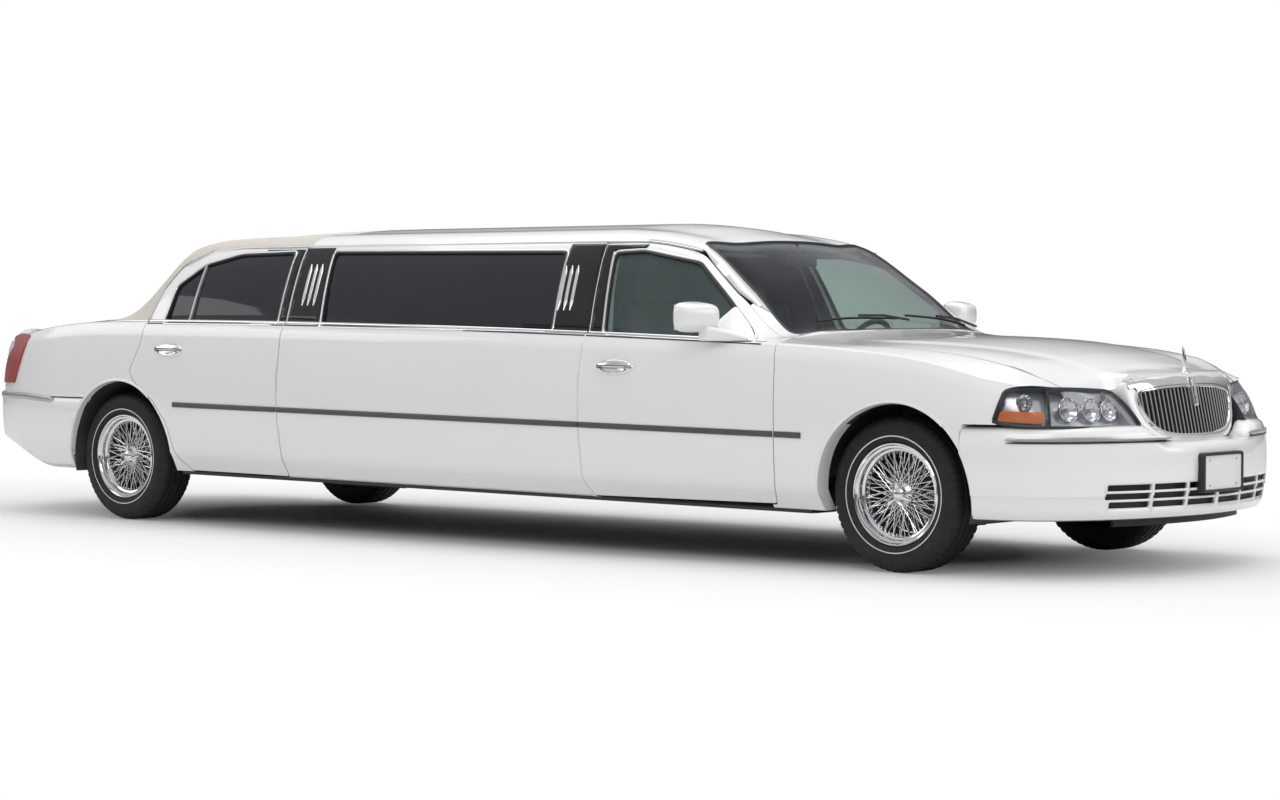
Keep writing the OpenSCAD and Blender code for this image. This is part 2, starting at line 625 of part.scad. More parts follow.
// A seat's side view, as [x ahead of its front foot, z above the floor]
seat_side = [[0, 0], [0, 210], [-30, 235], [-440, 215], [-560, 760], [-690, 760], [-600, 0]];
module seat(x, y, width) {
    translate([x, y + width / 2, floor_top]) rotate([90, 0, 0]) linear_extrude(width) polygon(seat_side);
}
module front_seats() {
    color("dimgray") both_sides() {
        seat(xf - 1150, driver_y, 520);
        translate([xf - 1820, driver_y - 130, floor_top + 760]) cube([95, 260, 150]);
    }
}
module rear_seats() {
    side = half_w - 320;
    color("dimgray") {
        translate([xr + 560, side, floor_top]) rotate([90, 0, 0]) linear_extrude(2 * side)
            polygon([[20.3, 0], [20.3, 208.3], [0, 208.3], [0, 225], [120, 235], [400, 235], [420, 210], [420, 0]]);
        translate([xr + 560, side, rear_floor_h]) rotate([90, 0, 0]) linear_extrude(2 * side)
            polygon([[0, 20], [0, 60], [-330, 60], [-460, 400], [-540, 400], [-500, 0.3], [0, 0.3]]);
        // bench along the right side
        translate([xr + 1300, -side, floor_top]) rotate([90, 0, 90]) linear_extrude(1900)
            polygon([[0, 0], [420, 0], [420, 235], [110, 220], [60, 640], [0, 640]]);
    }
}

// Hinges: fixed halves in the gaps, and hinges of the hood and boot lid
module hinges() {
    color("dimgray") both_sides() {
        for (z = [460, 820]) {
            hinge_block(z, front_axis_x + 8, front_door_line, 60);
            hinge_block(z, rear_axis_x - 22, rear_door_line, 60);
        }
    }
}
module hinge_block(z, x, outline, h) {
    difference() {
        intersection() {
            box(x, x + 60, half_w - 95, half_w - 45, z, z + h);
            union() {
                side_prism(front_door_line, panel_gap);
                side_prism(rear_door_line, panel_gap);
            }
        }
        translate([seat_gap, 0, 0]) side_prism(outline);
    }
}

// Mirrors
mirror_x = xf - 1014;
module mirror_body() {
    color("white") difference() {
        union() {
            plan_prism([[mirror_x - 45, half_w - 35], [mirror_x - 55, half_w + 125],
                [mirror_x - 10, half_w + 134], [mirror_x + 60, half_w + 90], [mirror_x + 80, half_w - 10],
                [mirror_x + 50, half_w - 35]], belt_h + 50, belt_h + 195);
            plan_prism([[mirror_x + 20, half_w + 15], [mirror_x + 270, half_w - 120],
                [mirror_x + 345, half_w - 120], [mirror_x + 345, half_w - 65],
                [mirror_x + 75, half_w + 15]], belt_h + 14, belt_h + 60);
        }
        side_wall(xf - 1400, xf - 640, BELT, EDGE, 0, 2.5);
    }
}

// Wheels, each about its own centre plane, with +Y outboard
function tyre_half() = let (r = tyre_d / 2, lip = rim_lip_d / 2, h = tyre_w / 2)
    [[lip - 17, 88 - seat_gap], [lip + seat_gap, 88 - seat_gap], [lip + 3, h - 11], [lip + 48, h], [r - 23, h - 4], [r - 4, h - 18], [r, h - 32]];
module about_y() { rotate([-90, 0, 0]) children(); }
module tyre() {
    half = tyre_half();
    about_y() rotate_extrude($fn = 96)
        polygon(concat(half, [for (p = back(half)) [p[0], -p[1]]]));
}
module wheel() {
    lip = rim_lip_d / 2;
    about_y() difference() {
        union() {
            rotate_extrude($fn = 96) polygon([[lip - 32, -100], [lip, -100], [lip, -88], [lip - 17, -88],
                [lip - 17, 88], [lip, 88], [lip, 100], [lip - 12, 100], [lip - 32, 80]]);
            translate([0, 0, -40]) cylinder(r = 48, h = 85);
            translate([0, 0, 45]) cylinder(r = 30, h = 45);
            for (i = [0:spoke_count - 1]) rotate([0, 0, i * 360 / spoke_count])
                translate([0, 0, 20]) rotate([0, 90, 0]) cylinder(r = 5, h = lip - 25);
        }
        translate([0, 0, -41]) cylinder(r = spindle_r + hub_play, h = 41 + 20 + 1);
    }
}
module at_wheel(front, side) {
    inset = front ? front_wheel_inset : rear_wheel_inset;
    translate([front ? xf : xr, side * (half_w - inset), axle_z]) scale_side(side) children();
}
module scale_side(side) {
    if (side > 0) children();
    else mirror([0, 1, 0]) children();
}

roof();
vinyl_top();
stretch_panels();
front_fenders();
quarter_panels();
sills();
windscreen();
rear_window();
stretch_windows();
headlights();
tail_lights();
front_bumper();
rear_bumper();
floor_pan();
bulkheads();
wheel_housings();
radiator();
ladder_frame();
engine();
front_suspension();
rear_axle();
driveshaft();
exhaust();
fuel_tank();
dashboard();
front_seats();
rear_seats();
hinges();
steering_wheel();
knuckle();  // knuckle_left
mirror([0, 1, 0]) knuckle();  // knuckle_right
color("black") at_wheel(true, 1) tyre();  // tyre_front_left
color("black") at_wheel(true, -1) tyre();  // tyre_front_right
color("black") at_wheel(false, 1) tyre();  // tyre_rear_left
color("black") at_wheel(false, -1) tyre();  // tyre_rear_right
color("silver") at_wheel(true, 1) wheel();  // wheel_front_left
color("silver") at_wheel(true, -1) wheel();  // wheel_front_right
color("silver") at_wheel(false, 1) wheel();  // wheel_rear_left
color("silver") at_wheel(false, -1) wheel();  // wheel_rear_right
color("white") front_door();  // front_door_left
color("white") mirror([0, 1, 0]) front_door();  // front_door_right
color("white") rear_door();  // rear_door_left
color("white") mirror([0, 1, 0]) rear_door();  // rear_door_right
color("lightblue") front_glass();  // front_glass_left
color("lightblue") mirror([0, 1, 0]) front_glass();  // front_glass_right
color("dimgray") rear_glass();  // rear_glass_left
color("dimgray") mirror([0, 1, 0]) rear_glass();  // rear_glass_right
mirror_body();  // mirror_left
mirror([0, 1, 0]) mirror_body();  // mirror_right
hood();
grille();
boot_lid();
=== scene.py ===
"""Looks of the stretch limousine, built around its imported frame, in metres.

X points to the front of the car, Y to its left and Z up, with the ground at Z 0.
"""

import json
import logging
import math
from contextlib import contextmanager
from dataclasses import dataclass, field
from enum import Enum
from typing import Callable, Iterator, Sequence

import bmesh
import bpy
from mathutils import Matrix, Vector

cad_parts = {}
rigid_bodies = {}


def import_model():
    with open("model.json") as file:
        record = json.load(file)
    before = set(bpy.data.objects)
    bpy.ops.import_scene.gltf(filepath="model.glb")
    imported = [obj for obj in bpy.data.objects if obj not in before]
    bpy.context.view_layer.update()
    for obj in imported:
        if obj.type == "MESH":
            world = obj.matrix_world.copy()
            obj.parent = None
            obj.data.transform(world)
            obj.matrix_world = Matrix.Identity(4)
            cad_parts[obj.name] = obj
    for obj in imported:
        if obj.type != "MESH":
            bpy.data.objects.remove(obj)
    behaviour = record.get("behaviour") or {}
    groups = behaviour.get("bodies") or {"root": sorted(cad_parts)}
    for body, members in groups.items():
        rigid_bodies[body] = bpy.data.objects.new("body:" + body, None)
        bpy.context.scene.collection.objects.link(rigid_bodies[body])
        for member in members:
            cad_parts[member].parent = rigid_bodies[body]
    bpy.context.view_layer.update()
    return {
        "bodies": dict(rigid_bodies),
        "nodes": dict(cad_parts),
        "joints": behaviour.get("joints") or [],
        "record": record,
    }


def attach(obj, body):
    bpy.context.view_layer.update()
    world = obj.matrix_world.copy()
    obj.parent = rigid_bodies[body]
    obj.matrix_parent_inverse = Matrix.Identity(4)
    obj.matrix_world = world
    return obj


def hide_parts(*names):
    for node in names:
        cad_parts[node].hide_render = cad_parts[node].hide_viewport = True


LOG = logging.getLogger("limousine")
MM = 0.001
Pair = tuple[float, float]
Point = tuple[float, float, float]
Obj = bpy.types.Object


# Shader expressions


class Value:
    """A number that varies over a surface: a shader socket with Python's operators."""

    def __init__(self, sheet: "Sheet", socket: bpy.types.NodeSocket) -> None:
        """Wraps one output socket of a sheet's node tree."""
        self.sheet, self.socket = sheet, socket

    def _maths(self, operation: str, first: object, second: object = 0.0) -> "Value":
        """Adds one Math node.

        Args:
            operation: the Math node's operation.
            first: a Value or a number.
            second: a Value or a number.

        Returns:
            The node's result.
        """
        made = self.sheet.node("ShaderNodeMath", {"operation": operation}, {0: first, 1: second})
        return Value(self.sheet, made.outputs[0])

    def __add__(self, other: object) -> "Value":
        """self + other."""
        return self._maths("ADD", self, other)

    def __radd__(self, other: object) -> "Value":
        """other + self."""
        return self._maths("ADD", other, self)

    def __sub__(self, other: object) -> "Value":
        """self - other."""
        return self._maths("SUBTRACT", self, other)

    def __rsub__(self, other: object) -> "Value":
        """other - self."""
        return self._maths("SUBTRACT", other, self)

    def __mul__(self, other: object) -> "Value":
        """self * other."""
        return self._maths("MULTIPLY", self, other)

    def __rmul__(self, other: object) -> "Value":
        """other * self."""
        return self._maths("MULTIPLY", other, self)

    def __truediv__(self, other: object) -> "Value":
        """self / other."""
        return self._maths("DIVIDE", self, other)

    def __pow__(self, other: object) -> "Value":
        """self to the power other."""
        return self._maths("POWER", self, other)

    def held(self) -> "Value":
        """self kept within 0 and 1."""
        return self._maths("MAXIMUM", self._maths("MINIMUM", self, 1.0), 0.0)


class Sheet:
    """The node tree of one material."""

    def __init__(self, name: str) -> None:
        """Starts a material with a bare Principled shader."""
        self.material = bpy.data.materials.new(name)
        self.material.use_nodes = True
        self.tree = self.material.node_tree
        self.tree.nodes.clear()
        self.out = self.node("ShaderNodeOutputMaterial", {}, {})
        self.shader = self.node("ShaderNodeBsdfPrincipled", {}, {})
        self.tree.links.new(self.shader.outputs[0], self.out.inputs[0])

    def node(self, kind: str, settings: dict, sockets: dict) -> bpy.types.Node:
        """Adds any node.

        Args:
            kind: the node's type name.
            settings: its properties, set before its sockets; "stops" fills a colour ramp.
            sockets: by name or number, a plain value, a Value or an output socket.

        Returns:
            The new node.
        """
        made = self.tree.nodes.new(kind)
        for key, setting in settings.items():
            if key == "stops":
                self._fill_ramp(made, setting)
            else:
                setattr(made, key, setting)
        for key, given in sockets.items():
            if isinstance(given, Value):
                self.tree.links.new(given.socket, made.inputs[key])
            elif isinstance(given, bpy.types.NodeSocket):
                self.tree.links.new(given, made.inputs[key])
            else:
                made.inputs[key].default_value = given
        return made

    @staticmethod
    def _fill_ramp(made: bpy.types.Node, stops: Sequence[tuple[float, Sequence[float]]]) -> None:
        """Puts (place, colour) stops on a ramp that starts with two."""
        ramp = made.color_ramp
        while len(ramp.elements) < len(stops):
            ramp.elements.new(0.5)
        for element, (place, colour) in zip(ramp.elements, stops):
            element.position, element.color = place, (*colour, 1)

    def spot(self) -> bpy.types.NodeSocket:
        """The point on the object, in metres."""
        return self.node("ShaderNodeTexCoord", {}, {}).outputs["Object"]

    def axis(self, name: str) -> Value:
        """One coordinate of the point, as a number."""
        parts = self.node("ShaderNodeSeparateXYZ", {}, {0: self.spot()})
        return Value(self, parts.outputs[name])

    def noise(self, scale: float, detail: float = 3.0, stretch: Point = (1, 1, 1)) -> Value:
        """Fractal noise.

        Args:
            scale: cells per metre.
            detail: octaves.
            stretch: how much each axis is multiplied before the noise.

        Returns:
            The noise, about 0 to 1.
        """
        place = self.node("ShaderNodeVectorMath", {"operation": "MULTIPLY"}, {0: self.spot(), 1: stretch})
        made = self.node("ShaderNodeTexNoise", {}, {"Vector": place.outputs[0], "Scale": scale,
                                                    "Detail": detail})
        return Value(self, made.outputs["Fac"])

    def cells(self, scale: float) -> Value:
        """Distance from the nearest of scattered points, scale points a metre."""
        made = self.node("ShaderNodeTexVoronoi", {}, {"Vector": self.spot(), "Scale": scale})
        return Value(self, made.outputs["Distance"])

    def blend(self, share: Value, one: Sequence[float], two: Sequence[float]) -> bpy.types.NodeSocket:
        """A colour from one to two by share."""
        made = self.node(
            "ShaderNodeMix", {"data_type": "RGBA"}, {0: share, 6: (*one, 1), 7: (*two, 1)}
        )
        return made.outputs[2]

    def set(self, **sockets: object) -> None:
        """Sets or links the Principled shader's sockets; an underscore stands for a space."""
        for key, given in sockets.items():
            socket = self.shader.inputs[key.replace("_", " ")]
            if isinstance(given, Value):
                self.tree.links.new(given.socket, socket)
            elif isinstance(given, bpy.types.NodeSocket):
                self.tree.links.new(given, socket)
            else:
                socket.default_value = given

    def bump(self, height: Value, depth: float) -> None:
        """Raises the surface by height, depth metres deep."""
        made = self.node("ShaderNodeBump", {}, {"Strength": 1.0, "Distance": depth, "Height": height})
        self.set(Normal=made.outputs[0])


# Finishes


@dataclass(frozen=True)
class Finish:
    """A finish with its own grain, mottling and dust.

    Attributes:
        name: the material's name.
        colour: its main colour.
        other: the colour it mottles towards.
        rough: roughness, and how much it varies.
        metal: metallic share.
        coat: weight of a clear coat.
        mottle: cells per metre of the colour's variation.
        grain: cells per metre of the surface's grain.
        depth: depth of the grain in metres.
        pebbled: whether the grain is rounded cells, as on leather and vinyl.
        dust: how dusty it gets towards the ground.
        specular: the shader's specular level.
    """

    name: str
    colour: Point
    other: Point
    rough: Pair
    metal: float = 0.0
    coat: float = 0.0
    mottle: float = 6.0
    grain: float = 300.0
    depth: float = 0.0
    pebbled: bool = False
    dust: float = 0.0
    specular: float = 0.5

    def make(self) -> bpy.types.Material:
        """Builds the material, or finds it if it was built."""
        found = bpy.data.materials.get(f"{self.name}_finish")
        if found:
            return found
        sheet = Sheet(f"{self.name}_finish")
        patches = sheet.noise(self.mottle)
        share = ((patches - 0.5) * 1.6 + 0.5).held()
        colour = sheet.blend(share, self.colour, self.other)
        rough = self.rough[0] + (sheet.noise(self.mottle * 5) - 0.5) * self.rough[1]
        if self.dust:
            low = ((0.5 - sheet.axis("Z")) * 2.4).held() * patches * self.dust
            dust = (0.33, 0.30, 0.26, 1)
            mixed = sheet.node("ShaderNodeMix", {"data_type": "RGBA"}, {0: low, 6: colour, 7: dust})
            colour = mixed.outputs[2]
            rough = rough + low * 0.4
        sheet.set(
            Base_Color=colour, Roughness=rough.held(), Metallic=self.metal, Coat_Weight=self.coat,
            Coat_Roughness=0.03, Specular_IOR_Level=self.specular,
        )
        if self.depth:
            grain = sheet.cells(self.grain) if self.pebbled else sheet.noise(self.grain, 4)
            sheet.bump(grain, self.depth)
        return sheet.material


@dataclass(frozen=True)
class Glazing:
    """Thin window glass that mixes what is behind it with its reflection.

    Attributes:
        name: the material's name.
        tint: the colour of what is seen through it.
        shade: a share of solid tint, 1 for glass that can't be seen through; on clear side glass that share
            paints a grey reflection.
        solid: the colour of that solid tint: dark glass's own tint, and a painted reflection grey on clear
            side glass.
    """

    name: str
    tint: Point
    shade: float
    solid: Point

    def make(self) -> bpy.types.Material:
        """Builds the material, or finds it if it was built."""
        found = bpy.data.materials.get(f"{self.name}_finish")
        if found:
            return found
        sheet = Sheet(f"{self.name}_finish")
        streaks = sheet.noise(3, 2)
        sheet.set(
            Base_Color=sheet.blend(streaks, self.solid, tuple(min(1, c * 1.3 + 0.004) for c in self.solid)),
            Roughness=0.02 + streaks * 0.02, Specular_IOR_Level=0.35,
        )
        if self.shade < 1:
            clear = sheet.node("ShaderNodeBsdfTransparent", {}, {0: (*self.tint, 1)})
            facing = Value(sheet, sheet.node("ShaderNodeLayerWeight", {}, {"Blend": 0.5}).outputs["Facing"])
            share = (facing ** 4 * 0.8 + self.shade + (streaks - 0.5) * 0.02).held()
            mixed = sheet.node(
                "ShaderNodeMixShader", {}, {0: share, 1: clear.outputs[0], 2: sheet.shader.outputs[0]}
            )
            sheet.tree.links.new(mixed.outputs[0], sheet.out.inputs[0])
        return sheet.material


# The car's finishes
PAINT = Finish("white_paint", (0.83, 0.83, 0.832), (0.82, 0.82, 0.823), (0.30, 0.04), coat=1.0, mottle=1.2,
               grain=60, depth=0.000004, dust=0.06)
VINYL = Finish("roof_vinyl", (0.64, 0.605, 0.555), (0.58, 0.55, 0.505), (0.55, 0.12), mottle=14, grain=260,
               depth=0.0008, pebbled=True)
BRIGHT = Finish("bright_trim", (0.78, 0.78, 0.79), (0.70, 0.70, 0.72), (0.07, 0.06), metal=1.0, mottle=20)
# Painted shade: this dark finish paints the shade in recesses: the grille bars' sides, inside the wire wheels'
# rims and the brake drums' faces.
PAINTED_SHADE = Finish("painted_recess_shade", (0.06, 0.06, 0.062), (0.04, 0.04, 0.042), (0.35, 0.1), metal=0.6, mottle=20)
SATIN = Finish("satin_strip", (0.50, 0.50, 0.51), (0.42, 0.42, 0.43), (0.3, 0.1), metal=0.8, mottle=25)
BLACK = Finish("black_moulding", (0.014, 0.014, 0.015), (0.022, 0.022, 0.024), (0.45, 0.15), grain=700,
               depth=0.0002)
GLOSS_BLACK = Finish("gloss_black", (0.004, 0.004, 0.005), (0.008, 0.008, 0.009), (0.10, 0.05), specular=0.4)
MOULDING = Finish("side_moulding", (0.055, 0.056, 0.058), (0.075, 0.075, 0.078), (0.42, 0.12), grain=600,
                  depth=0.0002)
RUBBER = Finish("tyre_rubber", (0.009, 0.009, 0.010), (0.016, 0.016, 0.016), (0.60, 0.15), mottle=30,
                grain=500, depth=0.0003, dust=0.06, specular=0.3)
WHITE_LINE = Finish("tyre_white_line", (0.72, 0.72, 0.70), (0.60, 0.60, 0.57), (0.5, 0.1), mottle=40)
UNDER = Finish("underbody", (0.020, 0.020, 0.021), (0.045, 0.042, 0.038), (0.75, 0.2), mottle=12, grain=120,
               depth=0.002, dust=0.5)
CAST = Finish("engine_metal", (0.30, 0.30, 0.30), (0.18, 0.175, 0.17), (0.5, 0.3), metal=0.8, grain=200,
              depth=0.0006)
STEEL = Finish("axle_steel", (0.13, 0.125, 0.12), (0.07, 0.06, 0.05), (0.55, 0.3), metal=0.7, grain=150,
               depth=0.0006, dust=0.4)
PIPE = Finish("exhaust_steel", (0.42, 0.38, 0.33), (0.20, 0.15, 0.11), (0.45, 0.3), metal=0.9, mottle=9,
              grain=220, depth=0.0004)
LEATHER = Finish("seat_leather", (0.022, 0.021, 0.023), (0.036, 0.034, 0.035), (0.42, 0.15), mottle=10,
                 grain=520, depth=0.0006, pebbled=True)
DASH = Finish("dash_plastic", (0.030, 0.030, 0.031), (0.045, 0.045, 0.045), (0.6, 0.12), grain=650,
              depth=0.0004, pebbled=True)
LINING = Finish("cabin_lining", (0.10, 0.10, 0.105), (0.14, 0.14, 0.14), (0.85, 0.1), mottle=30, grain=600,
                depth=0.0006)
CARPET = Finish("cabin_carpet", (0.035, 0.034, 0.036), (0.06, 0.058, 0.06), (0.95, 0.05), mottle=60,
                grain=900, depth=0.002)
PLATE = Finish("blank_plate", (0.80, 0.80, 0.80), (0.74, 0.74, 0.75), (0.35, 0.1), mottle=12, grain=400,
               depth=0.0001)
MIRROR_GLASS = Finish("mirror_glass", (0.9, 0.9, 0.92), (0.85, 0.86, 0.88), (0.02, 0.02), metal=1.0)
BOWL = Finish("lamp_bowl", (0.80, 0.80, 0.81), (0.62, 0.63, 0.65), (0.22, 0.10), metal=0.7, mottle=40)
AMBER = Finish("amber_lens", (0.80, 0.20, 0.015), (0.62, 0.11, 0.008), (0.12, 0.08), coat=0.8, mottle=30,
               grain=260, depth=0.0012, pebbled=True)
RED = Finish("red_lens", (0.42, 0.012, 0.012), (0.30, 0.008, 0.010), (0.10, 0.06), coat=1.0, mottle=30,
             grain=230, depth=0.001, pebbled=True)
# Painted reflection: the clear glass's grey solid share stands for the sky's reflection in the side windows.
CLEAR = Glazing("clear_glass", (0.78, 0.86, 0.84), 0.16, (0.22, 0.255, 0.26))
SCREEN = Glazing("screen_glass", (0.80, 0.86, 0.83), 0.08, (0.13, 0.13, 0.15))
DARK = Glazing("dark_glass", (0.05, 0.05, 0.05), 1.0, (0.010, 0.009, 0.014))
LENS = Glazing("lamp_lens", (0.95, 0.96, 0.97), 0.05, (0.20, 0.20, 0.21))


# Mesh tools


def only(*objects: Obj) -> None:
    """Selects these objects alone, the first one active."""
    bpy.ops.object.select_all(action="DESELECT")
    for found in objects:
        found.select_set(True)
    bpy.context.view_layer.objects.active = objects[0]


@contextmanager
def editing(piece: Obj) -> Iterator[None]:
    """Opens a piece in edit mode, with everything selected."""
    only(piece)
    bpy.ops.object.mode_set(mode="EDIT")
    bpy.ops.mesh.select_all(action="SELECT")
    yield
    bpy.ops.object.mode_set(mode="OBJECT")


def placed(piece: Obj, name: str) -> Obj:
    """Names a piece and moves its place into its mesh."""
    only(piece)
    bpy.ops.object.transform_apply(location=True, rotation=True, scale=True)
    piece.name = name
    return piece


def modified(piece: Obj, kind: str, **settings: object) -> Obj:
    """Adds a modifier and applies it.

    Args:
        piece: the object.
        kind: the modifier's type.
        settings: its properties.

    Returns:
        The same object.
    """
    only(piece)
    modifier = piece.modifiers.new(kind, kind)
    for key, setting in settings.items():
        setattr(modifier, key, setting)
    bpy.ops.object.modifier_apply(modifier=modifier.name)
    return piece


def cleaned(piece: Obj, angle: float = 32.0) -> Obj:
    """Merges doubles, points the faces outwards and shades the piece smooth up to an angle."""
    with editing(piece):
        bpy.ops.mesh.remove_doubles(threshold=0.00002)
        bpy.ops.mesh.normals_make_consistent(inside=False)
    bpy.ops.object.shade_smooth_by_angle(angle=math.radians(angle))
    return piece


def built(name: str, points: Sequence[Point], faces: Sequence[Sequence[int]], angle: float = 32.0) -> Obj:
    """A piece from its points and faces."""
    mesh = bpy.data.meshes.new(name)
    mesh.from_pydata([Vector(p) for p in points], [], faces)
    piece = bpy.data.objects.new(name, mesh)
    bpy.context.collection.objects.link(piece)
    return cleaned(piece, angle)


def lofted(name: str, rings: Sequence[Sequence[Vector]], closed: bool = False, angle: float = 32.0) -> Obj:
    """A skin through equal rings of points, capped at its ends unless it joins up."""
    m, n = len(rings), len(rings[0])
    faces = [(i * n + k, i * n + (k + 1) % n, (i + 1) % m * n + (k + 1) % n, (i + 1) % m * n + k)
             for i in range(m if closed else m - 1) for k in range(n)]
    if not closed:
        faces += [tuple(range(n)), tuple((m - 1) * n + k for k in reversed(range(n)))]
    return built(name, [p for ring in rings for p in ring], faces, angle)


def walled(name: str, runs: Sequence[tuple[Sequence[Point], Sequence[Point]]]) -> Obj:
    """A closed wall through sections, each an outer run and an inner run with as many points."""
    size = 2 * len(runs[0][0])
    last = (len(runs) - 1) * size
    faces = [(i + j, i + size + j, i + size + (j + 1) % size, i + (j + 1) % size)
             for i in range(0, last, size) for j in range(size)]
    for start in (0, last):
        faces += [(start + j, start + j + 1, start + size - 2 - j, start + size - 1 - j)
                  for j in range(size // 2 - 1)]
    return built(name, [p for outer, inner in runs for p in (*outer, *reversed(inner))], faces)


def block(name: str, low: Point, high: Point, round_off: float = 0.003, segments: int = 2) -> Obj:
    """A box between two corners with its edges rounded off."""
    bpy.ops.mesh.primitive_cube_add(size=1)
    piece = bpy.context.active_object
    piece.scale = [h - l for l, h in zip(low, high)]
    piece.location = [(h + l) / 2 for l, h in zip(low, high)]
    placed(piece, name)
    if round_off:
        modified(piece, "BEVEL", width=round_off, segments=segments, limit_method="NONE")
    return cleaned(piece, 40)


def rounded(corners: Sequence[Pair], radius: float, steps: int = 5) -> list[Pair]:
    """An outline with its corners rounded.

    Args:
        corners: the outline's corners in order.
        radius: how far before and after each corner the rounding starts, at most.
        steps: points along each rounding, less one.

    Returns:
        The outline's points.
    """
    out: list[Pair] = []
    for i, corner in enumerate(corners):
        here, back, ahead = Vector(corner), Vector(corners[i - 1]), Vector(corners[(i + 1) % len(corners)])
        reach = min(radius, (back - here).length * 0.45, (ahead - here).length * 0.45)
        start = here + (back - here).normalized() * reach
        end = here + (ahead - here).normalized() * reach
        for k in range(steps + 1):
            t = k / steps
            out.append(tuple(start * (1 - t) ** 2 + here * (2 * t * (1 - t)) + end * t * t))
    return out


class Way(Enum):
    """The axis that an outline is taken along, with the two axes that it lies in."""

    ALONG_X = (1, 2, 0)
    ALONG_Y = (0, 2, 1)
    ALONG_Z = (0, 1, 2)


def prism(name: str, outline: Sequence[Pair], way: Way, low: float, high: float,
          round_off: float = 0.0) -> Obj:
    """An outline taken along an axis.

    Args:
        name: the piece's name.
        outline: its corners, in the two other axes in X, Y, Z order.
        way: the axis.
        low: where it starts.
        high: where it ends.
        round_off: radius of its edges.

    Returns:
        The closed piece.
    """
    bpy.ops.mesh.primitive_circle_add(vertices=len(outline), radius=1, fill_type="NGON")
    piece = bpy.context.active_object
    first, second, third = way.value
    for vertex, corner in zip(piece.data.vertices, outline):
        place = [0.0, 0.0, 0.0]
        place[first], place[second], place[third] = corner[0], corner[1], low
        vertex.co = place
    step = [0.0, 0.0, 0.0]
    step[third] = high - low
    with editing(piece):
        bpy.ops.mesh.extrude_region_move(TRANSFORM_OT_translate={"value": step})
        bpy.ops.mesh.select_all(action="SELECT")
        bpy.ops.mesh.normals_make_consistent(inside=False)
    placed(piece, name)
    if round_off:
        modified(piece, "BEVEL", width=round_off, segments=3, limit_method="ANGLE",
                 angle_limit=math.radians(50))
    return cleaned(piece, 40)


def cut(piece: Obj, tool: Obj, operation: str = "DIFFERENCE") -> Obj:
    """Cuts a piece with a closed tool, and removes the tool."""
    before = piece.data.copy()
    modified(piece, "BOOLEAN", object=tool, operation=operation, solver="MANIFOLD")
    if not piece.data.polygons:
        piece.data = before
        modified(piece, "BOOLEAN", object=tool, operation=operation, solver="EXACT")
    bpy.data.objects.remove(tool)
    return piece


def joined(name: str, pieces: Sequence[Obj]) -> Obj:
    """Several pieces as one."""
    only(*pieces)
    if len(pieces) > 1:
        bpy.ops.object.join()
    pieces[0].name = name
    return pieces[0]


def copied(piece: Obj, name: str) -> Obj:
    """A copy with its own mesh."""
    twin = piece.copy()
    twin.data = piece.data.copy()
    twin.name = name
    bpy.context.collection.objects.link(twin)
    return twin


def mirrored(piece: Obj, name: str) -> Obj:
    """The same piece on the other side of the car, with its own mesh."""
    twin = copied(piece, name)
    twin.data.transform(Matrix.Diagonal((1, -1, 1, 1)))
    twin.data.flip_normals()
    return twin


def faced(piece: Obj, spot: Vector, facing: Vector) -> Obj:
    """Turns a piece made about the Y axis to face a way, and moves it to its spot."""
    turn = Vector((0, 1, 0)).rotation_difference(facing).to_matrix().to_4x4()
    piece.data.transform(Matrix.Translation(spot) @ turn)
    return piece


def turned(name: str, profile: Sequence[Pair], centre: Point, steps: int = 96, angle: float = 32.0) -> Obj:
    """A profile of (radius, place along Y) spun about a Y axis through the centre.

    A profile that ends where it starts makes a ring, and one that starts and ends on the axis a closed form.
    """
    bpy.ops.mesh.primitive_circle_add(vertices=len(profile), radius=1)
    piece = bpy.context.active_object
    for vertex, (radius, along) in zip(piece.data.vertices, profile):
        vertex.co = (centre[0] + radius, centre[1] + along, centre[2])
    with editing(piece):
        bpy.ops.mesh.spin(steps=steps, angle=2 * math.pi, center=centre, axis=(0, 1, 0))
        bpy.ops.mesh.select_all(action="SELECT")
        bpy.ops.mesh.remove_doubles(threshold=0.00001)
        bpy.ops.mesh.normals_make_consistent(inside=False)
    placed(piece, name)
    return cleaned(piece, angle)


def run_lengths(path: Sequence[Sequence[float]]) -> list[float]:
    """The length of a path up to each of its points."""
    lengths = [0.0]
    for a, b in zip(path, path[1:]):
        lengths.append(lengths[-1] + math.dist(a, b))
    return lengths


def swept(name: str, path: Sequence[Vector], outward: Sequence[Vector], profile: Sequence[Pair],
          closed: bool = False, taper: float = 0.0, angle: float = 40.0) -> Obj:
    """A strip of one profile along a path on a surface.

    Args:
        name: the piece's name.
        path: the points it follows.
        outward: the surface's direction at each point.
        profile: closed outline of (across the strip, out of the surface).
        closed: whether the path joins up.
        taper: length over which an open strip thins to a point at each end.
        angle: shading angle.

    Returns:
        The closed strip.
    """
    rings, last = [], len(path) - 1
    lengths = run_lengths(path)
    for i, (here, out) in enumerate(zip(path, outward)):
        back = path[i - 1] if i or closed else here
        ahead = path[(i + 1) % len(path)] if i < last or closed else here
        along = (ahead - back).normalized()
        out = (out - along * out.dot(along)).normalized()
        across = out.cross(along)
        thin = 1.0
        if taper and not closed:
            thin = max(0.03, min(1.0, lengths[i] / taper, (lengths[-1] - lengths[i]) / taper))
        rings.append([here + across * a * thin + out * b for a, b in profile])
    return lofted(name, rings, closed, angle)


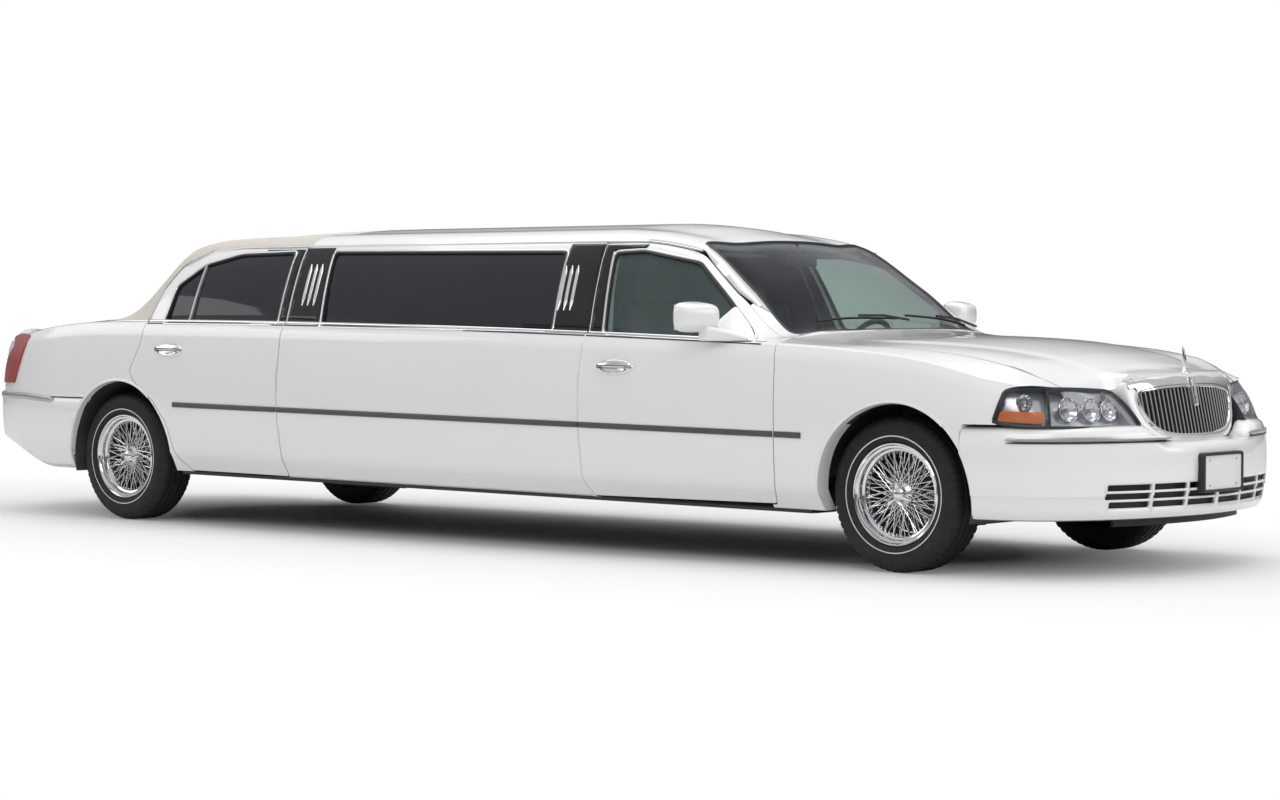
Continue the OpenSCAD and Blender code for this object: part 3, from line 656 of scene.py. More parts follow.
def strip_profile(width: float, height: float, sunk: float = 0.003, steps: int = 6) -> list[Pair]:
    """A low arch in section: width wide, height proud and sunk a little."""
    turns = [math.pi * k / steps for k in range(steps + 1)]
    arch = [(math.cos(a) * width / 2, math.sin(a) * height) for a in turns]
    return [(width / 2, -sunk), *arch, (-width / 2, -sunk)]


def circle(radius: float, sides: int, centre: Pair = (0.0, 0.0)) -> list[Pair]:
    """A round outline about a centre."""
    turns = [2 * math.pi * k / sides for k in range(sides)]
    return [(centre[0] + math.cos(a) * radius, centre[1] + math.sin(a) * radius) for a in turns]


def tube(name: str, path: Sequence[Vector], radius: float, sides: int) -> Obj:
    """A round bar along a path that runs in one direction."""
    upright = abs((path[-1] - path[0]).normalized().z) >= 0.9
    aside = Vector((1, 0, 0)) if upright else Vector((0, 0, 1))
    return swept(name, path, [aside] * len(path), circle(radius, sides), angle=50)


def finished(piece: Obj, finish: Finish | Glazing) -> None:
    """Gives a piece its finish, unless it has finishes of its own."""
    if not any(piece.data.materials):
        piece.data.materials.clear()
        piece.data.materials.append(finish.make())


def dress(piece: Obj, finish: Finish | Glazing, body: str, slot: str, *nodes: str) -> Obj:
    """Gives a piece its finish and body, and hides the nodes that it stands for."""
    finished(piece, finish)
    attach(piece, body)
    if nodes:
        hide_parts(*nodes)
    LOG.info("%s on %s, %d faces", piece.name, body, len(piece.data.polygons))
    return piece


def lined(piece: Obj, outer: Finish, inner: Finish, inward: Callable[[Vector, Vector], bool]) -> None:
    """Gives faces that look inwards the inner finish, and the rest the outer one.

    Args:
        piece: the object.
        outer: the finish outside.
        inner: the finish inside.
        inward: from a face's centre and normal, whether it looks inwards.
    """
    piece.data.materials.clear()
    piece.data.materials.append(outer.make())
    piece.data.materials.append(inner.make())
    for face in piece.data.polygons:
        face.material_index = int(inward(face.center, face.normal))


# The body's form


class Curve:
    """A smooth line through points that never overshoots them."""

    def __init__(self, table: Sequence[Pair]) -> None:
        """Takes (x, value) rows in rising x."""
        self.x = [row[0] for row in table]
        self.v = [row[1] for row in table]
        slopes = [(b - a) / (d - c) for a, b, c, d in zip(self.v, self.v[1:], self.x, self.x[1:])]
        self.m = [slopes[0]]
        for i, (a, b) in enumerate(zip(slopes, slopes[1:])):
            before, after = self.x[i + 1] - self.x[i], self.x[i + 2] - self.x[i + 1]
            one, two = 2 * after + before, after + 2 * before
            self.m.append(0.0 if a * b <= 0 else (one + two) / (one / a + two / b))
        self.m.append(slopes[-1])

    def __call__(self, x: float) -> float:
        """The value at x."""
        if x <= self.x[0]:
            return self.v[0]
        if x >= self.x[-1]:
            return self.v[-1]
        i = next(k for k in range(len(self.x)) if x < self.x[k + 1])
        h = self.x[i + 1] - self.x[i]
        t = (x - self.x[i]) / h
        return (
            self.v[i] * (2 * t**3 - 3 * t * t + 1) + self.m[i] * h * (t**3 - 2 * t * t + t)
            + self.v[i + 1] * (3 * t * t - 2 * t**3) + self.m[i + 1] * h * (t**3 - t * t)
        )


def mix(a: float, b: float, t: float) -> float:
    """From a to b by t."""
    return a + (b - a) * t


def step_up(low: float, high: float, x: float) -> float:
    """0 below low, 1 above high and a smooth rise between."""
    t = max(0.0, min(1.0, (x - low) / (high - low)))
    return t * t * (3 - 2 * t)


def divided(line: Sequence[Pair], step: float, closed: bool = True) -> list[Pair]:
    """A line's corners with points between them, about a step apart."""
    flat: list[Pair] = []
    for a, b in zip(line, [*line[1:], line[0]] if closed else line[1:]):
        n = max(1, round(math.dist(a, b) / step))
        flat += [(mix(a[0], b[0], k / n), mix(a[1], b[1], k / n)) for k in range(n)]
    return flat if closed else [*flat, line[-1]]


def plan(half: Sequence[Pair]) -> list[Pair]:
    """A whole plan outline from its left half, whose ends lie on the middle."""
    return list(half) + [(x, -y) for x, y in reversed(half) if y > 0.001]


def plan_curve(half: Sequence[Pair]) -> Callable[[float], Vector]:
    """A smooth plan line by share of its length, from its left half's points and their mirror image."""
    line = [*half, *[(x, -y) for x, y in reversed(half[:-1])]]
    lengths = run_lengths(line)
    xs, ys = (Curve([(s / lengths[-1], p[k]) for s, p in zip(lengths, line)]) for k in (0, 1))
    return lambda t: Vector((xs(t), ys(t), 0))


# The front and rear axles, their height, half the body's width, and where the sill's slope is measured from
XF, XR, AXLE = 2.680, -2.360, 0.338
HALF = 0.995
RAKE = XF - 0.605
# Rows of a body section: sill, belt line, ledge under the glass, roof's edge and the car's middle
SILL, BELT, LEDGE, EDGE, MIDDLE = 0, 5, 6, 9, 11


@dataclass
class BodyForm:
    """The outer form of the body, from sections across it that run from the sill to the middle of the roof."""

    belt_rows: Sequence[Pair] = ((-3.75, 0.9), (-3.45, 0.94), (-3.163, 0.988), (-2.9, 1.022), (-2.59, 1.042),
                                 (-2.1, 1.047), (2.075, 0.972), (2.74, 0.925), (3.173, 0.838), (3.396, 0.79),
                                 (3.64, 0.64))
    width_rows: Sequence[Pair] = ((-3.75, 0.515), (-3.6, 0.74), (-3.43, 0.88), (-3.2, 0.95), (-2.9, 0.985),
                                  (-2.26, 0.995), (2.28, 0.995), (3.07, 0.985), (3.24, 0.95), (3.396, 0.89),
                                  (3.46, 0.795), (3.64, 0.595))
    edge_rows: Sequence[tuple[float, float, float, float]] = (
        (-3.75, 0.560, 0.870, 0.900), (-3.66, 0.640, 0.930, 0.955), (-3.56, 0.690, 0.965, 1.005),
        (-3.30, 0.720, 1.005, 1.055), (-2.93, 0.720, 1.045, 1.075), (-2.65, 0.725, 1.058, 1.077),
        (-2.595, 0.735, 1.062, 1.082), (-2.44, 0.755, 1.100, 1.200), (-2.05, 0.700, 1.420, 1.464),
        (-1.86, 0.690, 1.446, 1.504), (-1.50, 0.690, 1.450, 1.530), (-0.96, 0.690, 1.450, 1.540),
        (0.80, 0.690, 1.450, 1.540), (1.05, 0.685, 1.442, 1.522), (1.22, 0.672, 1.426, 1.492),
        (1.39, 0.668, 1.390, 1.455), (1.71, 0.735, 1.180, 1.320), (1.99, 0.790, 1.005, 1.090),
        (2.088, 0.800, 0.995, 1.034), (2.804, 0.800, 0.950, 0.985), (3.173, 0.800, 0.895, 0.935),
        (3.323, 0.740, 0.838, 0.905), (3.396, 0.700, 0.803, 0.888), (3.46, 0.450, 0.792, 0.870),
        (3.577, 0.430, 0.770, 0.851))
    # Thickness of the lower walls and of the window frames, and steps between one row and the next
    wall: float = 0.08
    frame: float = 0.04
    counts: Sequence[int] = (4, 6, 6, 4, 2, 2, 5, 5, 4, 8, 6)
    _curves: dict = field(default_factory=dict)

    def __post_init__(self) -> None:
        """Makes the tables' curves."""
        self._curves = {
            "belt": Curve(self.belt_rows), "width": Curve(self.width_rows),
            "edge_y": Curve([(r[0], r[1]) for r in self.edge_rows]),
            "edge_z": Curve([(r[0], r[2]) for r in self.edge_rows]),
            "crown": Curve([(r[0], r[3]) for r in self.edge_rows]),
        }

    def belt(self, x: float) -> float:
        """Height of the belt line."""
        return self._curves["belt"](x)

    def sill(self, x: float) -> float:
        """Height of the sill's lower edge."""
        return 0.240 + (RAKE - x) * 0.0053

    def crease(self, x: float) -> float:
        """Height of the lower crease."""
        return 0.350 + (RAKE - x) * 0.007

    def moulding(self, x: float) -> float:
        """Height of the side moulding."""
        return 0.583 + (RAKE - x) * 0.0105

    def rows(self, x: float) -> list[Vector]:
        """The section's corner points as (y, z), from the sill to the middle of the roof."""
        w, belt, low = self._curves["width"](x), self.belt(x), self.moulding(x)
        ey, ez, cz = (self._curves[k](x) for k in ("edge_y", "edge_z", "crown"))
        ey, gy, gz = min(ey, w - 0.075), w - 0.07, belt + 0.008
        return [Vector(p) for p in (
            (w - 0.08, self.sill(x)), (w - 0.02, self.crease(x)), (w, low), (w - 0.016, mix(low, belt, 0.62)),
            (w - 0.030, belt - 0.042), (w - 0.05, belt), (gy, gz), (mix(gy, ey, 0.42), mix(gz, ez, 0.5)),
            (mix(gy, ey, 0.82), mix(gz, ez, 0.88)), (ey, ez), (ey * 0.55, mix(ez, cz, 0.7)), (0, cz))]

    def inward(self, x: float) -> list[Vector]:
        """Each row's way through the wall, long enough to reach the cabin side."""
        cabin = ((1, 0), (1, 0), (1, 0), (1, 0), (1, 0), (1, 0.1), (1.05, -0.03), (0.94, 0.35), (0.87, 0.5),
                 (0.5, 0.87), (0.1, 1), (0, 1))
        flat = ((1, 0), (1, 0), (1, 0), (1, 0), (1, 0.2), (1, 0.46), (1.03, 0.58), (0.3, 1), (0.1, 1), (0, 1),
                (0, 1), (0, 1))
        share = max(step_up(XF - 0.75, XF - 0.65, x), 1 - step_up(XR - 0.25, XR - 0.15, x))
        walls = [self.wall] * 6 + [(self.wall + self.frame) / 2] + [self.frame] * 5
        return [Vector(a).lerp(Vector(b), share) * t for a, b, t in zip(cabin, flat, walls)]

    def run(self, x: float, low: int, high: int, depth: float = 0.0, lift: float = 0.0) -> list[Vector]:
        """Points of a section between two rows.

        Args:
            x: the station.
            low: the first row.
            high: the last row.
            depth: share of the wall's thickness below the outer face.
            lift: distance out of the outer face, in metres.

        Returns:
            The points as (y, z).
        """
        rows, ways = self.rows(x), self.inward(x)
        chain = rows + [Vector((-rows[MIDDLE - 1].x, rows[MIDDLE - 1].y))]
        bends = {0, 1, 4, 5, 6}

        def slope(i: int, side: int) -> Vector:
            """Direction of the line at row i, for the stretch on one side of it."""
            ahead, behind = (i + 1 if i + 1 < len(chain) else i), i - 1
            if i in bends:
                a, b = (i, ahead) if side > 0 else (behind, i)
                return (chain[b] - chain[a]).normalized()
            before, after = chain[i] - chain[behind], chain[ahead] - chain[i]
            return (before / before.length**2 + after / after.length**2).normalized()

        out = []
        for i in range(low, high):
            a, b = chain[i], chain[i + 1]
            reach = (b - a).length
            one, two = slope(i, 1) * reach, slope(i + 1, -1) * reach
            for k in range(self.counts[i] + (i == high - 1)):
                t = k / self.counts[i]
                spot = (a * (2 * t**3 - 3 * t * t + 1) + one * (t**3 - 2 * t * t + t)
                        + b * (3 * t * t - 2 * t**3) + two * (t**3 - t * t))
                way = ways[i].lerp(ways[i + 1], t)
                out.append(spot - way * depth + way.normalized() * lift)
        return out

    def side_point(self, x: float, z: float, lift: float = 0.0) -> tuple[Vector, Vector]:
        """The left side's surface point at a station and height, and its outward direction."""
        run = self.run(x, SILL, EDGE)
        y, dy, dz = run[-1].x, 0.0, 1.0
        for a, b in zip(run, run[1:]):
            if a.y <= z <= b.y:
                t = (z - a.y) / max(b.y - a.y, 1e-6)
                y, dy, dz = mix(a.x, b.x, t), b.x - a.x, b.y - a.y
                break
        out = Vector((0, dz, -dy)).normalized()
        return Vector((x, y, z)) + out * lift, out

    def side_path(self, line: Sequence[Pair], closed: bool = False, step: float = 0.03,
                  lift: float = 0.0) -> tuple[list[Vector], list[Vector]]:
        """A line of (x, z) corners laid on the left side in short steps.

        Returns:
            The points, and the outward direction at each.
        """
        flat = divided(line, step, closed)
        found = [self.side_point(x, z, lift) for x, z in flat]
        return [f[0] for f in found], [f[1] for f in found]

    def shell(self, name: str, x0: float, x1: float, low: int, high: int, k0: float = 0.0, k1: float = 1.0,
              whole: bool = False, step: float = 0.022, lift: float = 0.0) -> Obj:
        """A closed wall between two stations and two rows.

        Args:
            name: the piece's name.
            x0: rear station.
            x1: front station.
            low: lowest row.
            high: highest row, or the middle.
            k0: outer face, as a share of the wall's thickness.
            k1: inner face.
            whole: whether it goes over the middle to the right side.
            step: distance between stations.
            lift: distance of the outer face out of the body.

        Returns:
            The wall.
        """
        n = max(2, round((x1 - x0) / step))
        runs = []
        for i in range(n + 1):
            x = mix(x0, x1, i / n)
            pair = [self.run(x, low, high, k0, lift), self.run(x, low, high, k1)]
            if whole:
                pair = [run + [Vector((-p.x, p.y)) for p in run[-2::-1]] for run in pair]
            runs.append([[(x, p.x, p.y) for p in run] for run in pair])
        return walled(name, runs)


FORM = BodyForm()
# The bodies that carry a left piece and its right twin
ROOT_PAIR = ("root", "root")
FRONT_DOORS = ("front_door_left", "front_door_right")
REAR_DOORS = ("rear_door_left", "rear_door_right")
# Wheel arches: radius, and each centre as (x, z)
ARCH_R = 0.404
ARCHES = {"front": (XF + 0.04, AXLE - 0.008), "rear": (XR + 0.02, AXLE)}
REAR_GLASS = plan(((-2.598, 0), (-2.565, 0.40), (-2.460, 0.64), (-2.060, 0.56), (-2.042, 0)))


def from_axle(axle: float, rows: Sequence[Pair]) -> list[Pair]:
    """Rows of (mm from an axle, height in mm) in metres."""
    return [(axle + a * MM, b * MM) for a, b in rows]


# Outlines on the body's side, as (x, z), from the nearest axle
FRONT_DOOR = from_axle(XF, ((-618, 276), (-600, 350), (-592, 603), (-606, 882), (-618, 975), (-655, 998),
                            (-1005, 1198), (-1265, 1389), (-1470, 1424), (-1560, 1434), (-1810, 1434),
                            (-1730, 1002), (-1745, 800), (-1735, 600), (-1724, 330), (-1690, 268)))
REAR_DOOR = from_axle(XR, ((1278, 279), (1255, 600), (1245, 800), (1260, 1030), (1190, 1434), (700, 1434),
                           (470, 1422), (300, 1339), (225, 1230), (208, 1060), (190, 942), (116, 797),
                           (150, 744), (300, 650), (400, 540), (452, 400), (478, 345), (551, 283)))
FRONT_WINDOW = from_axle(XF, ((-745, 980), (-972, 1147), (-1238, 1344), (-1570, 1402), (-1737, 1394),
                              (-1643, 1012)))
STRETCH_WINDOW = from_axle(XF, ((-1963, 1022), (-2031, 1402), (-3632, 1416), (-3528, 1038)))
REAR_WINDOW = from_axle(XR, ((1195, 1046), (1125, 1418), (720, 1410), (482, 1358), (321, 1247), (322, 1048)))


def grown(outline: Sequence[Pair], by: float) -> list[Pair]:
    """An outline moved outwards by a distance, or inwards where it is negative."""
    area = sum(a[0] * b[1] - b[0] * a[1] for a, b in zip(outline, list(outline[1:]) + [outline[0]]))
    sign = 1 if area > 0 else -1
    out = []
    for i, here in enumerate(outline):
        back, ahead = Vector(outline[i - 1]), Vector(outline[(i + 1) % len(outline)])
        one, two = (Vector(here) - back).normalized(), (ahead - Vector(here)).normalized()
        a, b = Vector((one.y, -one.x)), Vector((two.y, -two.x))
        joint = (a + b).normalized()
        out.append(tuple(Vector(here) + joint * sign * by / max(0.4, joint.dot(a))))
    return out


def side_tool(outline: Sequence[Pair], by: float = 0.0, corner: float = 0.012, side: int = 1) -> Obj:
    """A tool with an outline of (x, z) that reaches through the left side, or the right one at side -1."""
    line = rounded(grown(outline, by) if by else outline, corner)
    return prism("tool", line, Way.ALONG_Y, *sorted((side * 0.3, side * 1.3)))


def plan_tool(outline: Sequence[Pair], low: float = 0.6, high: float = 2.0) -> Obj:
    """A tool with a plan outline that reaches through the upper body."""
    return prism("tool", outline, Way.ALONG_Z, low, high)


def arch_tool(end: str, side: int = 1) -> Obj:
    """A round tool at the front or rear wheel arch of the left side, or of the right one at side -1."""
    return prism("tool", circle(ARCH_R, 96, ARCHES[end]), Way.ALONG_Y, *sorted((side * 0.2, side * 1.3)))


def looks_in(centre: Vector, normal: Vector) -> bool:
    """Whether a left side face looks into the cabin."""
    return normal.y < -0.35 or normal.z < -0.75


# Body sides


@dataclass
class Sides:
    """Fenders, doors, stretch panels and quarter panels, with their glass and trim, for both sides."""

    moulding_width: float = 0.026
    post_corner: float = 0.004

    def build(self) -> None:
        """Builds the left side's pieces and mirrors each to the right."""
        self.doors()
        self.fixed_panels()
        self.glass()
        self.trim()
        self.handles()
        self.mirrors()

    def pair(self, piece: Obj, finish: Finish | Glazing, bodies: Pair | tuple[str, str], slot: str,
             nodes: Sequence[Sequence[str]] = ((), ())) -> None:
        """Dresses a left piece and its mirrored twin."""
        finished(piece, finish)
        stem = piece.name
        piece.name = stem + "_left"
        twin = mirrored(piece, stem + "_right")
        dress(piece, finish, bodies[0], slot, *nodes[0])
        dress(twin, finish, bodies[1], slot, *nodes[1])

    def doors(self) -> None:
        """The four doors, with lining on their cabin side."""
        for name, line, window, x0, x1, hinged_to, play in (
            ("front_door", FRONT_DOOR, FRONT_WINDOW, XF - 1.83, XF - 0.56, XF - 1.6, 0.014),
            ("rear_door", REAR_DOOR, REAR_WINDOW, XR + 0.06, XR + 1.30, XR + 0.64, 0.018),
        ):
            skin = FORM.shell(name + "_skin", x0, x1, SILL, EDGE, 0.0, 0.3)
            cut(skin, side_tool(line), "INTERSECT")
            back = FORM.shell(name + "_inner", x0, x1, SILL, EDGE, 0.3, 1.0)
            cut(back, side_tool([(x + (play if x < hinged_to else 0.0), z) for x, z in line], -0.003),
                "INTERSECT")
            for piece in (skin, back):
                cut(piece, side_tool(window, 0.0, 0.03))
            finished(skin, PAINT)
            lined(back, PAINT, LINING, looks_in)
            both = cleaned(joined(name + "_panel", [skin, back]))
            bodies = (name + "_left", name + "_right")
            self.pair(both, PAINT, bodies, "body_paint", tuple((body,) for body in bodies))

    def fixed_panels(self) -> None:
        """The body sides that stay still."""
        above_sill, rear = 0.016, XR - 0.4
        floor_cut = [(rear, 0), (XF, 0), (XF, FORM.sill(XF) + above_sill),
                     (rear, FORM.sill(rear) + above_sill)]
        stretch = FORM.shell("stretch_panel", XR + 1.20, XF - 1.66, SILL, LEDGE)
        for tool in (side_tool(FRONT_DOOR, 0.006), side_tool(REAR_DOOR, 0.006), side_tool(floor_cut, 0, 0)):
            cut(stretch, tool)
        lined(stretch, PAINT, LINING, looks_in)
        self.pair(stretch, PAINT, ROOT_PAIR, "body_paint", (("stretch_panels",), ()))

        one = FORM.shell("fender_rear", XF - 0.64, XF - 0.592, SILL, LEDGE)
        two = FORM.shell("fender_front", XF - 0.592, XF + 0.716, SILL, EDGE)
        outline = from_axle(XF, ((-640, 150), (386, 150), (386, 616), (400, 652), (550, 652), (590, 796),
                                 (716, 796), (716, 1200), (-640, 1200)))
        for piece in (one, two):
            cut(piece, side_tool(outline, 0, 0.004), "INTERSECT")
            cut(piece, side_tool(FRONT_DOOR, 0.006))
            cut(piece, side_tool(floor_cut, 0, 0))
        for end in ARCHES:
            cut(two, arch_tool(end))
        cut(two, LAMPS.space(0.004))
        fender = cleaned(joined("front_fender", [one, two]))
        lined(fender, PAINT, UNDER, looks_in)
        self.pair(fender, PAINT, ROOT_PAIR, "body_paint", (("front_fenders",), ()))

        one = FORM.shell("quarter_front", XR - 0.12, XR + 0.56, SILL, LEDGE)
        two = FORM.shell("quarter_rear", XR - 1.09, XR - 0.12, SILL, EDGE)
        bumper = from_axle(XR, ((-266, 0), (-2000, 0), (-2000, 648), (-266, 648)))
        for piece in (one, two):
            cut(piece, side_tool(REAR_DOOR, 0.006))
            cut(piece, side_tool(bumper, 0, 0))
            cut(piece, side_tool(floor_cut, 0, 0))
            for end in ARCHES:
                cut(piece, arch_tool(end))
        cut(two, TAIL.lamp_space(0.004))
        quarter = cleaned(joined("quarter_panel", [one, two]))
        lined(quarter, PAINT, UNDER, looks_in)
        self.pair(quarter, PAINT, ROOT_PAIR, "body_paint", (("quarter_panels",), ()))
        self.arch_trim()

    def arch_trim(self) -> None:
        """The lips and liners of the wheel arches."""
        section = [(0.010, -0.03), (0.010, 0.001), (0.004, 0.004), (-0.004, 0.003), (-0.006, -0.03)]
        for end, start, stop in (("front", 50, 184), ("rear", 52, 182)):
            (x, z), reach = ARCHES[end], ARCH_R + 0.002
            line = [(x + math.cos(math.radians(a)) * reach, z + math.sin(math.radians(a)) * reach)
                    for a in range(start, stop, 3)]
            path, out = FORM.side_path(line, step=0.05)
            self.pair(swept(end + "_arch_lip", path, out, section), PAINT, ROOT_PAIR, "body_paint")
        for end, start, stop in (("front", -14, 70), ("rear", 100, 193)):
            (x, z), arc = ARCHES[end], [math.radians(mix(start, stop, k / 30)) for k in range(31)]
            ring = [(x + math.cos(a) * 0.398, z + math.sin(a) * 0.398) for a in arc]
            ring += [(x + math.cos(a) * 0.394, z + math.sin(a) * 0.394) for a in reversed(arc)]
            self.pair(prism(end + "_arch_liner", ring, Way.ALONG_Y, 0.60, 0.955), UNDER, ROOT_PAIR,
                      "underbody")

    def glass(self) -> None:
        """Side windows, with the black pillar covers between them."""
        for name, window, bodies, finish, slot, x0, x1, nodes in (
            ("front_window", FRONT_WINDOW, FRONT_DOORS, CLEAR, "clear_glass", XF - 1.83,
             XF - 0.56, (("front_glass_left",), ("front_glass_right",))),
            ("rear_window_side", REAR_WINDOW, REAR_DOORS, DARK, "dark_glass", XR + 0.06,
             XR + 1.30, (("rear_glass_left",), ("rear_glass_right",))),
            ("stretch_window", STRETCH_WINDOW, ROOT_PAIR, DARK, "dark_glass", XR + 1.30, XF - 1.85,
             (("stretch_windows",), ())),
        ):
            pane = FORM.shell(name, x0, x1, BELT, EDGE, 0.25, 0.40)
            cut(pane, side_tool(window, -0.0005, 0.03), "INTERSECT")
            self.pair(pane, finish, bodies, slot, nodes)
        front_post = from_axle(XF, ((-1560, 1428), (-1804, 1428), (-1727, 1018), (-1655, 1016), (-1748, 1396),
                                    (-1568, 1404)))
        rear_post = [(XR + 1.253, 1.060), (XR + 1.186, 1.428), (XR + 0.9, 1.428), (XR + 0.9, 1.417),
                     (XR + 1.130, 1.419), (XR + 1.199, 1.052)]
        mid_front = from_axle(XF, ((-1816, 1434), (-1735, 1018), (-1958, 1022), (-2027, 1408), (-2027, 1434)))
        mid_rear = [(XR + 1.266, 1.060), (XR + 1.196, 1.434), (XR + 1.402, 1.434), (XR + 1.402, 1.420),
                    (XR + 1.506, 1.045)]
        for name, outline, bodies, x0, x1 in (
            ("front_post_cover", front_post, FRONT_DOORS, XF - 1.83, XF - 1.54),
            ("rear_post_cover", rear_post, REAR_DOORS, XR + 0.88, XR + 1.28),
            ("middle_post_front", mid_front, ROOT_PAIR, XF - 2.05, XF - 1.72),
            ("middle_post_rear", mid_rear, ROOT_PAIR, XR + 1.18, XR + 1.53),
        ):
            cover = FORM.shell(name, x0, x1, BELT, EDGE, 0.0, 0.2, lift=0.0015)
            cut(cover, side_tool(outline, 0, self.post_corner), "INTERSECT")
            self.pair(cover, GLOSS_BLACK, bodies, "black_plastic")

    def along(self, name: str, line: Sequence[Pair], profile: Sequence[Pair], finish: Finish,
              bodies: tuple[str, str],
              slot: str, taper: float = 0.0, closed: bool = False, lift: float = 0.0) -> None:
        """A strip along a line of (x, z) on both sides."""
        path, out = FORM.side_path(line, closed, lift=lift)
        self.pair(swept(name, path, out, profile, closed, taper), finish, bodies, slot)

    def trim(self) -> None:
        """Window surrounds, belt strips, mouldings, roof rails and the slanted bars."""
        ring = strip_profile(0.011, 0.004, 0.012)
        for name, window, bodies in (("front_window_surround", FRONT_WINDOW, FRONT_DOORS),
                                     ("rear_window_surround", REAR_WINDOW, REAR_DOORS),
                                     ("stretch_window_surround", STRETCH_WINDOW, ROOT_PAIR)):
            self.along(name, rounded(grown(window, 0.003), 0.03), ring, BRIGHT, bodies, "bright_trim",
                       closed=True)
            self.along(name + "_seal", rounded(grown(window, -0.006), 0.03),
                       strip_profile(0.010, 0.001, 0.014), BLACK, bodies, "black_plastic", closed=True)
        self.along("window_divider", [(XR + 0.519, 1.052), (XR + 0.481, 1.354)],
                   strip_profile(0.016, 0.002, 0.014), SATIN, REAR_DOORS, "bright_trim")
        low = self.moulding_width / 2
        for name, x0, x1, bodies in (("rear_belt", XR + 0.212, XR + 1.255, REAR_DOORS),
                                     ("middle_belt", XR + 1.264, XF - 1.741, ROOT_PAIR),
                                     ("front_belt", XF - 1.731, XF - 0.70, FRONT_DOORS)):
            n = max(2, round((x1 - x0) / 0.1))
            xs = [mix(x0, x1, i / n) for i in range(n + 1)]
            self.along(name + "_strip", [(x, FORM.belt(x) + 0.012) for x in xs], strip_profile(0.018, 0.006),
                       BRIGHT, bodies, "bright_trim")
            self.along(name + "_line", [(x, FORM.belt(x) + 0.0005) for x in xs], strip_profile(0.008, 0.003),
                       BLACK, bodies, "black_plastic")
        moulding = [(low, -0.003), (low, 0.004), (low * 0.55, 0.008), (-low * 0.55, 0.008), (-low, 0.004),
                    (-low, -0.003)]
        for name, x0, x1, bodies in (("rear_moulding", XR + 0.47, XR + 1.252, REAR_DOORS),
                                     ("middle_moulding", XR + 1.262, XF - 1.739, ROOT_PAIR),
                                     ("front_moulding", XF - 1.730, XF - 0.596, FRONT_DOORS),
                                     ("fender_moulding", XF - 0.584, XF - 0.44, ROOT_PAIR)):
            self.along(name, [(x, FORM.moulding(x)) for x in (x0, x1)], moulding, MOULDING, bodies,
                       "black_plastic")
        rail = [(XR + 0.335, 1.352), (XR + 0.48, 1.425), (XR + 0.7, 1.441), (XR + 1.3, 1.4425),
                (XF - 1.82, 1.4425), (XF - 1.56, 1.4405), (XF - 1.466, 1.431), (XF - 1.262, 1.396)]
        self.along("roof_rail", rail, strip_profile(0.010, 0.006, 0.004), BRIGHT, ROOT_PAIR, "bright_trim")
        for group, top_x, foot_x, top, foot, pitch in (("rear", -1.067, -1.023, 1.347, 1.138, 0.0405),
                                                       ("front", 0.682, 0.719, 1.329, 1.118, 0.038)):
            for i in range(3):
                self.along(f"{group}_bar_{i + 1}", [(top_x + pitch * i, top), (foot_x + pitch * i, foot)],
                           strip_profile(0.020, 0.008, 0.002), BRIGHT, ROOT_PAIR, "bright_trim", taper=0.008,
                           lift=0.002)
        self.along("sill_strip", [(x, FORM.sill(x) + 0.009) for x in (XR + 0.47, XF - 0.43)],
                   [(0.009, -0.05), (0.009, 0.004), (0.002, 0.007), (-0.006, 0.004), (-0.009, -0.05)], BLACK,
                   ROOT_PAIR, "black_plastic")
        line = [(XR + 0.205, 1.064), (XR + 0.222, 1.232), (XR + 0.296, 1.345), (XR + 0.34, 1.378)]
        self.along("vinyl_front_edge", [(x - 0.006, z + 0.006) for x, z in line], strip_profile(0.006, 0.004),
                   VINYL, ROOT_PAIR, "roof_vinyl")
        base = [(x, FORM.belt(x) + lift) for x, lift in ((XR - 0.30, 0.016), (XR - 0.12, 0.014),
                                                         (XR + 0.195, 0.014))]
        self.along("vinyl_base_strip", base, strip_profile(0.014, 0.005), BRIGHT, ROOT_PAIR, "bright_trim")

    def handles(self) -> None:
        """Bright oval handles with a pull over a scooped plate."""
        for name, x, z, bodies in (("front_handle", 1.150, 0.862, FRONT_DOORS),
                                   ("rear_handle", -1.945, 0.907, REAR_DOORS)):
            spot, out = FORM.side_point(x, z)
            bpy.ops.mesh.primitive_uv_sphere_add(segments=40, ring_count=20, radius=1)
            plate = bpy.context.active_object
            plate.scale = (0.112, 0.012, 0.036)
            placed(plate, "plate")
            for vertex in plate.data.vertices:
                reach = (vertex.co.x / 0.075) ** 2 + ((vertex.co.z + 0.004) / 0.021) ** 2
                if vertex.co.y > 0 and reach < 1:
                    vertex.co.y -= 0.011 * (1 - reach)
            bow = [Vector((0.098 * math.cos(a), 0.006 + 0.016 * math.sin(a), 0.009))
                   for a in (math.pi * k / 16 for k in range(17))]
            section = [(0.005, -0.007), (0.006, 0.0), (0.004, 0.007), (-0.004, 0.007), (-0.006, 0),
                       (-0.005, -0.007)]
            pull = swept("pull", bow, [Vector((0, 0, 1))] * len(bow), section)
            lock = turned("lock", [(0.0, 0.0), (0.009, 0.0), (0.009, 0.014), (0.006, 0.0155), (0.0, 0.0155)],
                          (0.086, 0, 0.0), 24)
            handle = joined(name, [plate, pull, lock])
            faced(handle, spot, out)
            self.pair(cleaned(handle, 45), BRIGHT, bodies, "bright_trim")

